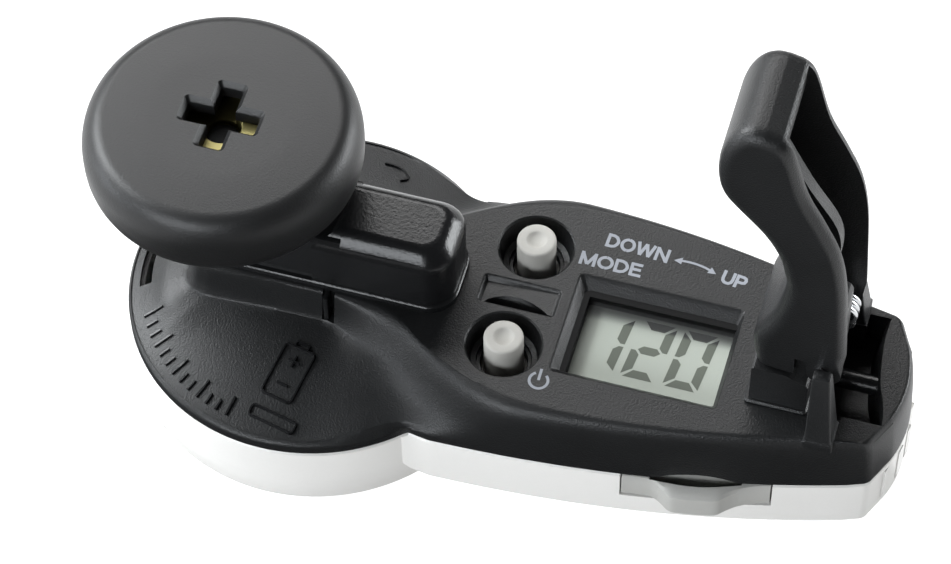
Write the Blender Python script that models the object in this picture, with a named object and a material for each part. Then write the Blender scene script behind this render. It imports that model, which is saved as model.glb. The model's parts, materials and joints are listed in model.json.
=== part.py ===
"""Hand-held digital measuring wheel, built as separate pieces.

Frame: metres, +Z up. The origin lies on the underside of the lower shell, below the centre of
the round casing. +X runs along the body towards the folding arm, +Y to the far long side.
All sizes below are in millimetres. Heights are measured from the foot of the long body's side
wall, and solid() raises every piece by BASE_DROP so that the underside ends up at zero.
"""
import math

import bpy

MM = 0.001
GAP = 0.3                      # clearance between neighbouring pieces

# --- Casing -------------------------------------------------------------------------------
TOP_Z = 16.0                   # flat top face of the cover
PARTING_Z = 8.0                # lower edge of the cover along the long body
BODY_DROP, ROUND_DROP = 8.0, 9.6    # from the top face to the cover's lower edge
BASE_DROP = 3.7                # from the foot of the side wall to the underside
ROUND_R = 22.3                 # round casing under the wheel
NECK_Y = 16.25                 # where the long body leaves the round casing
BODY_HALF, BODY_X = 17.0, 14.4
END_X = 71.3                   # far end of the long body
END_BULGE = 0.035              # how far the end curves, per mm squared
TAPER, TAPER_POWER = 0.00121, 2.2
END_CORNER_X = 67.9            # where the side ends and the end corner begins
WALL = 1.4
FLOOR = 1.5
BASE_FLOOR = FLOOR - BASE_DROP # inner face of the shell's floor
BELLY = 3.2                    # how far the underside is set in below the side wall
PLATEAU_LEFT, PLATEAU_HALF = -12.7, 5.45
SADDLE_END_X = 28.5            # where the sloping saddle becomes the side wall

# --- Wheel and gear train -----------------------------------------------------------------
WHEEL_X = -9.68
WHEEL_R = 15.9                 # 100 mm of travel for each turn
WHEEL_Z0, WHEEL_Z1 = 29.15, 38.0
SOCKET_HALF, SOCKET_ARM = 4.2, 1.25
SOCKET_CHAMFER = 0.62
SOCKET_DEPTH = 2.2
BUSH_R = 5.5
AXLE_R = 1.5
GEAR_MODULE = 0.5
DRIVE_TEETH, SMALL_TEETH = 15, 13
GEAR_Z0, GEAR_Z1 = 18.4, 20.6
FIRST_IDLER_X = WHEEL_X + GEAR_MODULE * (DRIVE_TEETH + SMALL_TEETH) / 2
SECOND_IDLER_X = FIRST_IDLER_X + GEAR_MODULE * SMALL_TEETH
ENCODER_X = SECOND_IDLER_X + GEAR_MODULE * SMALL_TEETH
ENCODER_R = 7.6

# --- Gear housing -------------------------------------------------------------------------
BLOCK_X0, BLOCK_X1 = 1.5, 17.9
BLOCK_HALF, BLOCK_TOP = 5.0, 25.7
TOWER_R, TOWER_TOP = 5.0, 28.5
THROAT_HALF = 4.9
HOUSING_Z0 = TOP_Z + GAP

# --- Controls and display -----------------------------------------------------------------
BUTTON_X, BUTTON_Y = 24.98, 6.96
BUTTON_R, BUTTON_TOP = 2.34, 17.6
WELL_R, WELL_FLOOR = 4.5, 13.0
WINDOW_TOP = (30.9, -8.9, 50.4, 4.9)
WINDOW_LOW = (32.5, -7.6, 49.7, 2.75)
BOARD_Z0, BOARD_Z1 = 8.6, 9.4

# --- Battery drawer -----------------------------------------------------------------------
DRAWER_X0, DRAWER_X1 = 41.3, 58.0
DRAWER_Z0, DRAWER_Z1 = 3.7, 7.7
TAB_OUT = 2.2                  # how far the nail tab stands out
CELL_R, CELL_H = 6.2, 2.0
CELL_Y = -4.6

# --- Folding arm --------------------------------------------------------------------------
ARM_HALF, ARM_WALL = 6.4, 1.4
PIVOT_X, PIVOT_Z = 61.6, 24.2
PIN_R = 0.9
LUG_R = 2.0
FOOT_X0, FOOT_X1 = 53.6, 60.2
POST_INNER = 6.9
BAR_R, BAR_Z = 1.1, 14.9       # lanyard bar
SCREW_HEAD_Z = 1.6 - BASE_DROP # upper face of the case screws' heads

SMOOTH_ANGLE = math.radians(32)


# ------------------------------------------------------------------ general helpers
def clear_scene():
    for item in list(bpy.data.objects):
        bpy.data.objects.remove(item, do_unlink=True)


def material(name, colour, roughness, metallic=0.0):
    made = bpy.data.materials.new(name)
    made.use_nodes = True
    shader = made.node_tree.nodes["Principled BSDF"]
    shader.inputs["Base Color"].default_value = (*colour, 1.0)
    shader.inputs["Roughness"].default_value = roughness
    shader.inputs["Metallic"].default_value = metallic
    return made


def solid(name, points, faces):
    """Make an object from points in millimetres."""
    mesh = bpy.data.meshes.new(name)
    mesh.from_pydata([(x * MM, y * MM, (z + BASE_DROP) * MM) for x, y, z in points], [], faces)
    mesh.update()
    made = bpy.data.objects.new(name, mesh)
    bpy.context.scene.collection.objects.link(made)
    return made


def rings_solid(name, rings):
    """Close a stack of equal point rings with one cap at each end."""
    count = len(rings[0])
    points = [point for ring in rings for point in ring]
    faces = [tuple(reversed(range(count)))]
    for level in range(len(rings) - 1):
        low, high = level * count, (level + 1) * count
        for i in range(count):
            j = (i + 1) % count
            faces.append((low + i, low + j, high + j, high + i))
    last = (len(rings) - 1) * count
    faces.append(tuple(last + i for i in range(count)))
    return solid(name, points, faces)


def prism(name, outline, z0, z1):
    """Upright prism over an anticlockwise outline."""
    return rings_solid(name, [[(x, y, z0) for x, y in outline], [(x, y, z1) for x, y in outline]])


def box(name, low, high):
    x0, y0, z0 = low
    x1, y1, z1 = high
    return prism(name, [(x0, y0), (x1, y0), (x1, y1), (x0, y1)], z0, z1)


def circle(x, y, radius, count, start=0.0):
    step = 2 * math.pi / count
    return [(x + radius * math.cos(start + i * step), y + radius * math.sin(start + i * step))
            for i in range(count)]


def turned(name, x, y, profile, count=24, start=0.05):
    """Solid of revolution about a vertical axis; the profile runs upwards as (radius, z)."""
    return rings_solid(name, [[(px, py, z) for px, py in circle(x, y, radius, count, start)]
                              for radius, z in profile])


def rod_y(name, x, z, radius, y0, y1, count=16):
    """Round rod along Y."""
    rings = [[(x + dx, y, z + dz) for dx, dz in circle(0, 0, radius, count)] for y in (y1, y0)]
    return rings_solid(name, rings)


def rod_x(name, y, z, radius, x0, x1, count=16):
    """Round rod along X."""
    rings = [[(x, y + dy, z + dz) for dy, dz in circle(0, 0, radius, count)] for x in (x0, x1)]
    return rings_solid(name, rings)


def side_prism(name, outline, y0, y1):
    """Prism along Y over an anticlockwise outline given as (x, z)."""
    rings = [[(x, y, z) for x, z in outline] for y in (y1, y0)]
    return rings_solid(name, rings)


def combine(target, tool, operation, solver="EXACT"):
    """Apply one Boolean and remove the tool."""
    modifier = target.modifiers.new("boolean", "BOOLEAN")
    modifier.object = tool
    modifier.operation = operation
    modifier.solver = solver
    graph = bpy.context.evaluated_depsgraph_get()
    result = bpy.data.meshes.new_from_object(target.evaluated_get(graph))
    target.modifiers.clear()
    target.data = result
    bpy.data.objects.remove(tool, do_unlink=True)


def cut(target, *tools):
    for tool in tools:
        combine(target, tool, "DIFFERENCE")


def add(target, *tools):
    for tool in tools:
        combine(target, tool, "UNION")


def finish(item, finish_material):
    """Give a piece its material and smooth its round faces."""
    item.data.materials.clear()
    item.data.materials.append(finish_material)
    item.data.shade_smooth()
    item.data.set_sharp_from_angle(angle=SMOOTH_ANGLE)
    return item


def set_origin(item, x, y, z):
    """Move an object's origin to a point on its joint's axis."""
    for vertex in item.data.vertices:
        vertex.co.x -= x * MM
        vertex.co.y -= y * MM
        vertex.co.z -= (z + BASE_DROP) * MM
    item.location = (x * MM, y * MM, (z + BASE_DROP) * MM)


def mix(a, b, t):
    return a + (b - a) * t


def spread(start, stop, count):
    """Evenly spaced values from start up to, but without, stop."""
    return [mix(start, stop, i / count) for i in range(count)]


# ------------------------------------------------------------------ casing outline
def half_width(x):
    """Half the width of the long body at its lower rim."""
    return BODY_HALF - TAPER * max(x - BODY_X, 0.0) ** TAPER_POWER


def corner(centre, radius, start, stop, count):
    """Points on a corner arc, angles in degrees."""
    angles = [math.radians(mix(start, stop, i / (count - 1))) for i in range(count)]
    return [(centre[0] + radius * math.cos(a), centre[1] + radius * math.sin(a)) for a in angles]


def end_curve(x_end, y_values):
    return [(x_end - END_BULGE * y * y, y) for y in y_values]


def rim_half(draw_in=0.0):
    """Far half of the lower rim, from the left end of the round casing to the body's end.

    draw_in narrows the long body only, for the levels below its side wall.
    """
    neck_y = NECK_Y - draw_in
    neck_x = math.sqrt(ROUND_R ** 2 - neck_y ** 2)
    turn = math.radians(140)
    angles = spread(math.pi, turn, 5) + spread(turn, math.atan2(neck_y, neck_x), 10)
    points = [(ROUND_R * math.cos(a), ROUND_R * math.sin(a)) for a in angles]
    points += [(neck_x, neck_y)]
    along = spread(neck_x + 1.0, SADDLE_END_X, 5) + spread(SADDLE_END_X, END_CORNER_X - draw_in, 5)
    points += [(along[0], BODY_HALF - 0.4 - draw_in)]
    points += [(x, half_width(x) - draw_in) for x in along[1:]]
    points += corner((67.5 - draw_in, 7.75 - draw_in), 1.5, 75, 18, 3)
    points += end_curve(END_X - draw_in, [5.2 - 0.6 * draw_in, 2.6 - 0.3 * draw_in])
    return points + [(END_X - draw_in, 0.0)]


def ridge_half():
    """Far half of the edge of the flat top, point for point beside the rim."""
    points = [(PLATEAU_LEFT, 0.0), (PLATEAU_LEFT, 1.6), (PLATEAU_LEFT, 3.2)]
    points += corner((PLATEAU_LEFT + 1.6, PLATEAU_HALF - 1.6), 1.6, 160, 120, 2)
    points += [(x, PLATEAU_HALF) for x in spread(PLATEAU_LEFT + 2.2, 10.4, 9)]
    points += [(11.2, 5.9), (12.6, 6.9)]
    points += [(13.9, 7.9), (16.2, 9.5), (19.2, 11.1), (22.4, 12.5), (25.6, 13.3)]
    points += [(x, half_width(x) - ridge_offset(x)) for x in spread(29.2, 67.0, 5)]
    points += corner((66.6, 7.5), 1.5, 75, 18, 3)
    points += end_curve(END_X - 0.9, [5.1, 2.5])
    return points + [(END_X - 0.9, 0.0)]


def ridge_offset(x):
    """Width of the rounded side wall, which narrows towards the hinge."""
    return 1.6 + 1.1 * ((67.3 - x) / 38.1) ** 3


def full_outline(half):
    """Whole anticlockwise outline from its far half."""
    near = [(x, -y) for x, y in half]
    return near[:-1] + half[:0:-1]


def inset(outline, distance):
    """Move an anticlockwise outline inwards along its corner normals."""
    moved = []
    count = len(outline)
    for i, (x, y) in enumerate(outline):
        ax, ay = outline[i - 1]
        bx, by = outline[(i + 1) % count]
        before = math.hypot(x - ax, y - ay)
        after = math.hypot(bx - x, by - y)
        nx = (y - ay) / before + (by - y) / after
        ny = -(x - ax) / before - (bx - x) / after
        size = math.hypot(nx, ny)
        reach = distance / max(size / 2, 0.75)
        moved.append((x - nx / size * reach, y - ny / size * reach))
    return moved


# How the cover falls from its flat top's edge (0) to its rim (1): three cross-sections, each a
# list of (way across, drop), with the drop scaled to the cover's full height at each point.
# They run smoothly into each other along the body.
DECK_SECTION = [(0.0, 0.0), (0.012, 0.12), (0.022, 0.5), (0.04, 2.3), (0.06, 3.7), (0.11, 4.1),
                (0.50, 5.1), (0.90, 6.6), (0.965, 6.95), (1.0, 7.3), (1.0, 8.0)]
SADDLE_SECTION = [(0.0, 0.0), (0.05, 0.2), (0.12, 0.7), (0.20, 1.5), (0.30, 2.6), (0.42, 3.8),
                  (0.62, 5.3), (0.85, 6.3), (0.95, 6.7), (1.0, 7.1), (1.0, 8.0)]
SIDE_SECTION = [(0.0, 0.0), (0.15, 0.1), (0.32, 0.35), (0.48, 0.8), (0.60, 1.4), (0.70, 2.2),
                (0.80, 3.4), (0.88, 4.8), (0.94, 6.0), (0.98, 7.2), (1.0, 8.0)]
NECK_X = math.sqrt(ROUND_R ** 2 - NECK_Y ** 2)


def cover_height(x):
    """Drop from the top face to the cover's lower edge, which is deeper on the round casing."""
    return ROUND_DROP if x < NECK_X + 0.5 else BODY_DROP


def section_at(x):
    """Cross-section of the cover's edge at a rim point."""
    if x <= 2.0:
        return DECK_SECTION
    if x <= NECK_X:
        first, second, t = DECK_SECTION, SADDLE_SECTION, (x - 2.0) / (NECK_X - 2.0)
    else:
        t = min((x - NECK_X) / (SADDLE_END_X - NECK_X), 1.0)
        first, second = SADDLE_SECTION, SIDE_SECTION
    t = t * t * (3 - 2 * t)
    return [(mix(a, c, t), mix(b, d, t)) for (a, b), (c, d) in zip(first, second)]


def cover_rings(levels, ridge, rim, depth):
    """Rings of the cover's outer (depth 0) or inner surface, from top to rim."""
    rings = []
    for level in levels:
        ring = []
        for (rx, ry), (ox, oy) in zip(ridge, rim):
            across, drop = section_at(ox)[level]
            z = TOP_Z - depth - drop / BODY_DROP * (cover_height(ox) - depth)
            ring.append((mix(rx, ox, across), mix(ry, oy, across), z))
        rings.append(ring)
    return rings


# ------------------------------------------------------------------ casing pieces
def upper_cover_blank():
    rim, ridge = full_outline(rim_half()), full_outline(ridge_half())
    outer = cover_rings(range(11), ridge, rim, 0.0)
    inner = cover_rings([10, 7, 5, 3, 0], inset(ridge, WALL), inset(rim, WALL), WALL)
    return rings_solid("upper_cover", list(reversed(inner)) + list(reversed(outer)))


def post(side):
    """Buttress that carries one end of the hinge pin."""
    inner, outer, top = POST_INNER, 10.4, 8.4
    low = [(60.9, inner), (64.0, inner), (64.0, outer), (60.9, outer)]
    high = [(60.7, inner), (62.8, inner), (62.8, top), (60.7, top)]
    rings = [[(x, y, TOP_Z - 1.0) for x, y in low], [(x, y, PIVOT_Z + 1.8) for x, y in high]]
    if side < 0:
        rings = [[(x, -y, z) for x, y, z in reversed(ring)] for ring in rings]
    return rings_solid("post", rings)


def recess_outline():
    """Lanyard recess behind the hinge, with a curved right-hand side."""
    return [(64.3, -5.8), (68.5, -5.8), (67.9, -2.9), (67.2, -0.9), (66.8, 1.0), (66.5, 3.2),
            (66.4, 8.6), (64.3, 8.6), (64.3, 6.6), (62.0, 6.6), (62.0, -6.6), (64.3, -6.6)]


def window_cutter():
    ax0, ay0, ax1, ay1 = WINDOW_TOP
    bx0, by0, bx1, by1 = WINDOW_LOW
    top = [(ax0, ay0), (ax1, ay0), (ax1, ay1), (ax0, ay1)]
    low = [(bx0, by0), (bx1, by0), (bx1, by1), (bx0, by1)]
    rings = [[(x, y, TOP_Z - WALL - 0.5) for x, y in low],
             [(x, y, TOP_Z - WALL) for x, y in low],
             [(x, y, TOP_Z) for x, y in top],
             [(x, y, TOP_Z + 0.5) for x, y in top]]
    return rings_solid("window_cutter", rings)


def pocket_outline():
    """Pocket between the buttons, arched on its near side."""
    arch = [(20.3 + 8.9 * i / 6, -1.7 - 0.8 * math.sin(math.pi * i / 6)) for i in range(7)]
    return arch + [(29.2, 2.1), (20.3, 2.1)]


def well_profile():
    """Button well: outer bowl, retaining step and the hole that guides the button."""
    return [(2.7, 10.0), (2.7, 12.4), (3.4, 12.4), (3.4, WELL_FLOOR), (WELL_R, WELL_FLOOR),
            (WELL_R, TOP_Z + 1.0)]


def upper_cover():
    """Black cover with its wells, display window, hinge posts and lanyard recess.

    The long thin walls need the MANIFOLD solver: EXACT loses the cover at the second well.
    """
    cover = upper_cover_blank()
    ceiling = TOP_Z - 0.7
    tub = [(60.6, -8.6), (68.4, -8.2), (70.0, -5.0), (70.0, 5.0), (68.4, 8.0), (60.6, 8.9)]
    additions = [prism("tub", tub, PARTING_Z + 0.6, ceiling),
                 box("pocket_wall", (19.3, -3.3, 12.6), (29.8, 3.1, ceiling)),
                 post(1), post(-1)]
    cuts = [prism("recess", recess_outline(), 11.0, TOP_Z + 1.0)]
    for side in (1, -1):
        y = side * BUTTON_Y
        additions.append(turned("well_wall", BUTTON_X, y, [(5.3, 11.4), (5.3, ceiling)], 20))
        cuts.append(turned("well", BUTTON_X, y, well_profile(), 20))
    for x, radius in ((WHEEL_X, 3.3), (FIRST_IDLER_X, 1.0), (SECOND_IDLER_X, 1.0), (ENCODER_X, 1.1)):
        cuts.append(turned("bore", x, 0, [(radius, 12), (radius, 17)], 16))
    cuts += [prism("pocket", pocket_outline(), 13.6, TOP_Z + 1.0),
             window_cutter(),
             rod_y("pin_hole", PIVOT_X, PIVOT_Z, PIN_R + 0.2, -12, 12, 12),
             rod_x("bar_hole", 0.0, BAR_Z, BAR_R + 0.15, 60.9, 68.6, 12),
             box("slot", (2.9, -8.2, 11.8), (4.4, -5.2, 17.0)),
             box("rim_slot", (-21.0, -7.0, 7.3), (-19.5, 0.3, 12.0)),
             rod_y("nail_gap", 49.7, -0.6, 9.8, -16.0, -12.2, 32)]
    for tool in additions:
        combine(cover, tool, "UNION", "MANIFOLD")
    for tool in cuts:
        combine(cover, tool, "DIFFERENCE", "MANIFOLD")
    return cover


def screw_top(name):
    """Height of a case screw's tip below the cover's skin."""
    return 6.6 if "round" in name else 7.6


def case_screw_places():
    return {"case_screw_round_far": (-12.0, 13.0), "case_screw_round_near": (-12.0, -13.0),
            "case_screw_end_far": (62.2, 6.6), "case_screw_end_near": (62.2, -6.6)}


def lower_shell():
    """White tray: upright walls, a belly set in below the long body and one flat underside."""
    rim, belly = full_outline(rim_half()), full_outline(rim_half(BELLY))
    belly_edge = full_outline(rim_half(BELLY - 0.5))
    wall = inset(rim, WALL)
    tops = [TOP_Z - cover_height(x) - GAP for x, y in rim]
    rings = [[(x, y, -BASE_DROP) for x, y in inset(belly, 0.6)],
             [(x, y, 0.6 - BASE_DROP) for x, y in belly_edge],
             [(x, y, 0.0) for x, y in rim],
             [(x, y, z) for (x, y), z in zip(rim, tops)],
             [(x, y, z) for (x, y), z in zip(wall, tops)],
             [(x, y, 0.0) for x, y in wall],
             [(x, y, BASE_FLOOR) for x, y in inset(belly_edge, WALL)]]
    shell = rings_solid("lower_shell", rings)
    for i in range(5):
        y = -6.0 + 3.0 * i
        x = END_X - END_BULGE * y * y
        outline = [(x - 1.0, y - 0.2), (x + 0.1, y - 0.2), (x + 0.3, y + 0.9), (x - 1.0, y + 0.9)]
        add(shell, prism("rib", outline, 1.2, PARTING_Z - 1.2))
    under = BASE_FLOOR - 0.5
    for name, (x, y) in case_screw_places().items():
        add(shell, turned("boss", x, y, [(2.3, under), (2.3, screw_top(name) - 1.6)], 14))
        cut(shell, turned("screw_hole", x, y, [(2.2, -BASE_DROP - 1), (2.2, SCREW_HEAD_Z + 0.3),
                                               (1.25, SCREW_HEAD_Z + 0.3), (1.25, 7.0)], 12))
    add(shell, turned("arbor_boss", ENCODER_X, 0, [(2.4, under), (2.4, 3.2)], 14))
    cut(shell, turned("arbor_hole", ENCODER_X, 0, [(1.7, 1.9), (1.7, 5.0)], 12))
    slot = (DRAWER_X0 - 0.3, -20.0, DRAWER_Z0 - 0.3)
    cut(shell, box("drawer_slot", slot, (DRAWER_X1 + 0.3, -6.0, PARTING_Z + 1.0)))
    for x in (DRAWER_X0 - 1.6, DRAWER_X1 + 0.4):
        add(shell, box("rail", (x, -9.4, under), (x + 1.2, 4.6, 6.6)))
    add(shell, box("shelf", (DRAWER_X0 - 1.0, -9.2, 0.5), (DRAWER_X1 + 1.0, 4.4, 1.5)))
    return shell


def block_profile(x0, x1, half, radius, count=4):
    """Plan of the block: square at its left end, rounded at its right corners."""
    near = corner((x1 - radius, -half + radius), radius, -90, 0, count)
    far = corner((x1 - radius, half - radius), radius, 0, 90, count)
    return [(x0, -half)] + near + far + [(x0, half)]


def gear_housing():
    """Block and tower that cover the gear train and carry the axle's upper bearing."""
    levels = [(0.0, HOUSING_Z0), (0.0, BLOCK_TOP - 1.8), (0.55, BLOCK_TOP - 0.55), (1.8, BLOCK_TOP)]
    rings = [[(x, y, z) for x, y in block_profile(BLOCK_X0, BLOCK_X1 - d, BLOCK_HALF - d, 2.6)]
             for d, z in levels]
    housing = rings_solid("gear_housing", rings)
    add(housing, box("throat", (WHEEL_X, -THROAT_HALF, HOUSING_Z0), (BLOCK_X0 + 2.0, THROAT_HALF, 25.0)))
    add(housing, turned("tower", WHEEL_X, 0, [(TOWER_R, HOUSING_Z0), (TOWER_R, TOWER_TOP)], 32))
    roof = GEAR_Z1 + 0.5
    cut(housing, box("hollow", (WHEEL_X, -3.8, HOUSING_Z0 - 1), (ENCODER_X, 3.8, roof)))
    cut(housing, turned("hollow", ENCODER_X, 0, [(3.95, HOUSING_Z0 - 1), (3.95, roof)], 24))
    cut(housing, turned("hollow", WHEEL_X, 0, [(4.4, HOUSING_Z0 - 1), (4.4, roof)], 24))
    cut(housing, turned("bearing_seat", WHEEL_X, 0, [(1.9, roof - 1), (1.9, 25.6), (3.3, 25.6),
                                                     (3.3, 30.0)], 20))
    cut(housing, box("light_hollow", (4.0, -3.6, roof - 1), (16.0, 3.6, 24.3)))
    return housing


# ------------------------------------------------------------------ wheel and gears
def cross_outline(half, arm):
    return [(WHEEL_X + x, y) for x, y in
            [(half, -arm), (half, arm), (arm, arm), (arm, half), (-arm, half), (-arm, arm),
             (-half, arm), (-half, -arm), (-arm, -arm), (-arm, -half), (arm, -half), (arm, -arm)]]


def measuring_wheel():
    """Disc with a deep rounded upper rim and a cross-shaped socket."""
    edge = [(WHEEL_R - 1.2, WHEEL_Z0), (WHEEL_R - 0.35, WHEEL_Z0 + 0.35), (WHEEL_R, WHEEL_Z0 + 1.2),
            (WHEEL_R, WHEEL_Z1 - 4.0)]
    upper_r = 3.6
    for degrees in (22, 45, 68, 90):
        a = math.radians(degrees)
        edge.append((WHEEL_R - upper_r * (1 - math.cos(a)), WHEEL_Z1 - upper_r * (1 - math.sin(a))))
    wheel = turned("measuring_wheel", WHEEL_X, 0, edge, 48)
    socket_floor = WHEEL_Z1 - SOCKET_DEPTH
    seat = [(BUSH_R + GAP, WHEEL_Z0 - 1), (BUSH_R + GAP, socket_floor + GAP)]
    cut(wheel, turned("seat", WHEEL_X, 0, seat, 32))
    cut(wheel, prism("socket", cross_outline(SOCKET_HALF, SOCKET_ARM), socket_floor, WHEEL_Z1 + 1))
    low, high = WHEEL_Z1 - 1.05, WHEEL_Z1 + 0.2
    wide = SOCKET_CHAMFER * 1.2 + 0.05
    chamfer = [[(x, y, low) for x, y in cross_outline(SOCKET_HALF - 0.05, SOCKET_ARM - 0.05)],
               [(x, y, high) for x, y in cross_outline(SOCKET_HALF + wide, SOCKET_ARM + wide)]]
    cut(wheel, rings_solid("chamfer", chamfer))
    return wheel


def wheel_bush():
    bush = turned("wheel_bush", WHEEL_X, 0, [(BUSH_R, WHEEL_Z0 + 0.3),
                                             (BUSH_R, WHEEL_Z1 - SOCKET_DEPTH)], 32)
    cut(bush, turned("bore", WHEEL_X, 0, [(AXLE_R + 0.15, WHEEL_Z0 - 1), (AXLE_R + 0.15, 33.2),
                                          (2.3, 33.2), (2.3, 39.0)], 20))
    return bush


def gear_outline(teeth, start):
    """Involute gear, 20 degree pressure angle, with shortened teeth and running backlash."""
    pitch_r = GEAR_MODULE * teeth / 2
    tip_r, root_r = pitch_r + 0.38, pitch_r - 0.52
    base_r = pitch_r * math.cos(math.radians(20))
    half_tooth = math.pi / (2 * teeth) - 0.055 / pitch_r
    roll = math.tan(math.radians(20)) - math.radians(20)
    flank = [(root_r, half_tooth + roll)]
    for radius in (base_r + 0.02, (base_r + tip_r) / 2, tip_r):
        angle = math.acos(min(base_r / radius, 1.0))
        flank.append((radius, half_tooth + roll - (math.tan(angle) - angle)))
    outline = []
    for i in range(teeth):
        middle = start + 2 * math.pi * i / teeth
        for radius, offset in flank:
            outline.append((radius * math.cos(middle - offset), radius * math.sin(middle - offset)))
        for radius, offset in reversed(flank):
            outline.append((radius * math.cos(middle + offset), radius * math.sin(middle + offset)))
    return outline


def gear(name, x, teeth, bore, start=0.0):
    outline = [(x + px, py) for px, py in gear_outline(teeth, start)]
    made = prism(name, outline, GEAR_Z0, GEAR_Z1)
    cut(made, turned("bore", x, 0, [(bore, GEAR_Z0 - 1), (bore, GEAR_Z1 + 1)], 14))
    return made


def encoder_disc():
    """Thin slotted wheel that the light barrier counts."""
    outline = []
    slots = 16
    for i in range(slots):
        for part, radius in ((0.0, ENCODER_R), (0.5, ENCODER_R), (0.5, ENCODER_R - 1.6),
                             (1.0, ENCODER_R - 1.6)):
            a = 2 * math.pi * (i + part) / slots
            outline.append((ENCODER_X + radius * math.cos(a), radius * math.sin(a)))
    disc = prism("encoder_disc", outline, 5.4, 6.0)
    cut(disc, turned("bore", ENCODER_X, 0, [(0.95, 4), (0.95, 7)], 12))
    return disc


def encoder_sensor():
    """Fork-shaped light barrier around the disc's edge."""
    x0 = ENCODER_X + ENCODER_R - 2.4
    x1 = ENCODER_X + ENCODER_R + 2.6
    sensor = box("encoder_sensor", (x0, -1.8, 3.3), (x1, 1.8, BOARD_Z0 - 0.1))
    cut(sensor, box("throat", (x0 - 1, -3, 4.9), (ENCODER_X + ENCODER_R + 0.6, 3, 6.5)))
    return sensor


# ------------------------------------------------------------------ controls and display
def button(name, side):
    y = side * BUTTON_Y
    made = turned(name, BUTTON_X, y, [(3.2, 10.65), (3.2, 11.1), (BUTTON_R, 11.1),
                                      (BUTTON_R, BUTTON_TOP - 0.25), (BUTTON_R - 0.25, BUTTON_TOP),
                                      (0.75, BUTTON_TOP), (0.35, BUTTON_TOP - 0.3)], 20)
    return made


def battery_drawer():
    """Tray with a front that follows the shell and a tab for the fingernail."""
    bulge = [(DRAWER_X0, 0.05), (44.0, 0.05), (45.6, 0.45), (47.0, TAB_OUT - 0.2), (49.8, TAB_OUT),
             (52.6, TAB_OUT), (53.2, TAB_OUT - 0.8), (54.8, 0.65), (56.6, 0.15), (DRAWER_X1, 0.05)]
    front = [(x, -half_width(x) - out) for x, out in bulge]
    tray = prism("battery_drawer", front + [(DRAWER_X1, 3.4), (DRAWER_X0, 3.4)], DRAWER_Z0, DRAWER_Z1)
    centre = (DRAWER_X0 + DRAWER_X1) / 2
    cut(tray, turned("cell_seat", centre, CELL_Y, [(CELL_R + GAP, DRAWER_Z0 + 1.0),
                                                   (CELL_R + GAP, DRAWER_Z1 + 1)], 32))
    cut(tray, turned("contact_window", centre, CELL_Y, [(3.0, 3), (3.0, 6)], 16))
    cut(tray, rod_x("nail_scoop", -half_width(49.8) + 0.4, DRAWER_Z1 + 0.3, 1.1, 45.4, 54.0, 20))
    return tray


def coin_cell():
    centre = (DRAWER_X0 + DRAWER_X1) / 2
    z0 = DRAWER_Z0 + 1.0 + GAP
    return turned("coin_cell", centre, CELL_Y, [(CELL_R - 0.6, z0), (CELL_R - 0.6, z0 + 0.3),
                                                (CELL_R, z0 + 0.3), (CELL_R, z0 + CELL_H)], 32)


def battery_contact(name, z0, z1, y0, y1):
    centre = (DRAWER_X0 + DRAWER_X1) / 2
    return box(name, (centre - 1.2, y0, z0), (centre + 1.2, y1, z1))


def lcd_holder():
    holder = box("lcd_holder", (30.6, -10.2, 10.4), (52.4, 6.0, 14.2))
    cut(holder, box("inside", (31.1, -9.4, 9.0), (51.6, 5.2, 16.0)))
    return holder


# ------------------------------------------------------------------ folding arm
ARM_FRONT = [(53.8, 23.0), (53.3, 25.7), (53.5, 28.2), (55.2, 32.0), (55.9, 35.0), (56.3, 38.3),
             (55.9, 40.6), (55.2, 43.3), (53.3, 46.9), (49.8, 51.1), (48.5, 53.2), (48.0, 55.8),
             (48.2, 59.0), (49.1, 62.2), (50.7, 64.2)]
ARM_BACK = [(55.5, 62.9), (56.5, 59.8), (57.7, 55.2), (59.8, 50.8), (61.8, 46.1), (62.9, 40.5),
            (63.5, 32.2), (63.8, 27.0)]


def offset_curve(points, distance):
    """Move an open curve to its left-hand side."""
    moved = []
    for i, (x, z) in enumerate(points):
        ax, az = points[max(i - 1, 0)]
        bx, bz = points[min(i + 1, len(points) - 1)]
        size = math.hypot(bx - ax, bz - az)
        moved.append((x - (bz - az) / size * distance, z + (bx - ax) / size * distance))
    return moved


def clip_arm():
    """Channel with an S-shaped front skin, two side walls, a middle rib and hinge lugs."""
    foot = [(PIVOT_X + LUG_R * math.cos(math.radians(a)), PIVOT_Z + LUG_R * math.sin(math.radians(a)))
            for a in (10, -25, -60, -90, -120, -150)]
    outline = ARM_FRONT + ARM_BACK + foot + [(59.6, 25.9), (58.3, 25.9), (58.3, 23.0)]
    arm = side_prism("clip_arm", list(reversed(outline)), -ARM_HALF, ARM_HALF)
    skin = offset_curve(ARM_FRONT, -1.6)
    hollow = skin[2:-2] + [(51.6, 60.3), (54.7, 60.0), (55.0, 64.5), (70.0, 64.5), (70.0, 15.0),
                           (59.2, 15.0), (59.2, 27.7)]
    rib_half = 0.8
    for side in (-1, 1):
        y0, y1 = sorted((side * rib_half, side * (ARM_HALF - ARM_WALL)))
        cut(arm, side_prism("hollow", list(reversed(hollow)), y0, y1))
    rib_trim = [(56.7, 64.5), (58.2, 52.0), (60.8, 44.0), (59.6, 34.0), (58.9, 31.0), (58.9, 15.0),
                (70.0, 15.0), (70.0, 64.5)]
    cut(arm, side_prism("rib_trim", rib_trim, -rib_half - 0.5, rib_half + 0.5))
    cut(arm, rod_y("pin_hole", PIVOT_X, PIVOT_Z, PIN_R + 0.12, -8, 8, 16))
    return arm


def hinge_block():
    """Fixed block on the cover that the arm's foot stands on."""
    outline = [(FOOT_X0, TOP_Z + GAP), (FOOT_X1, TOP_Z + GAP), (FOOT_X1, 21.4), (59.2, 21.6),
               (58.0, 22.4), (FOOT_X0, 22.7)]
    return side_prism("hinge_block", outline, -6.7, 6.7)


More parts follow.
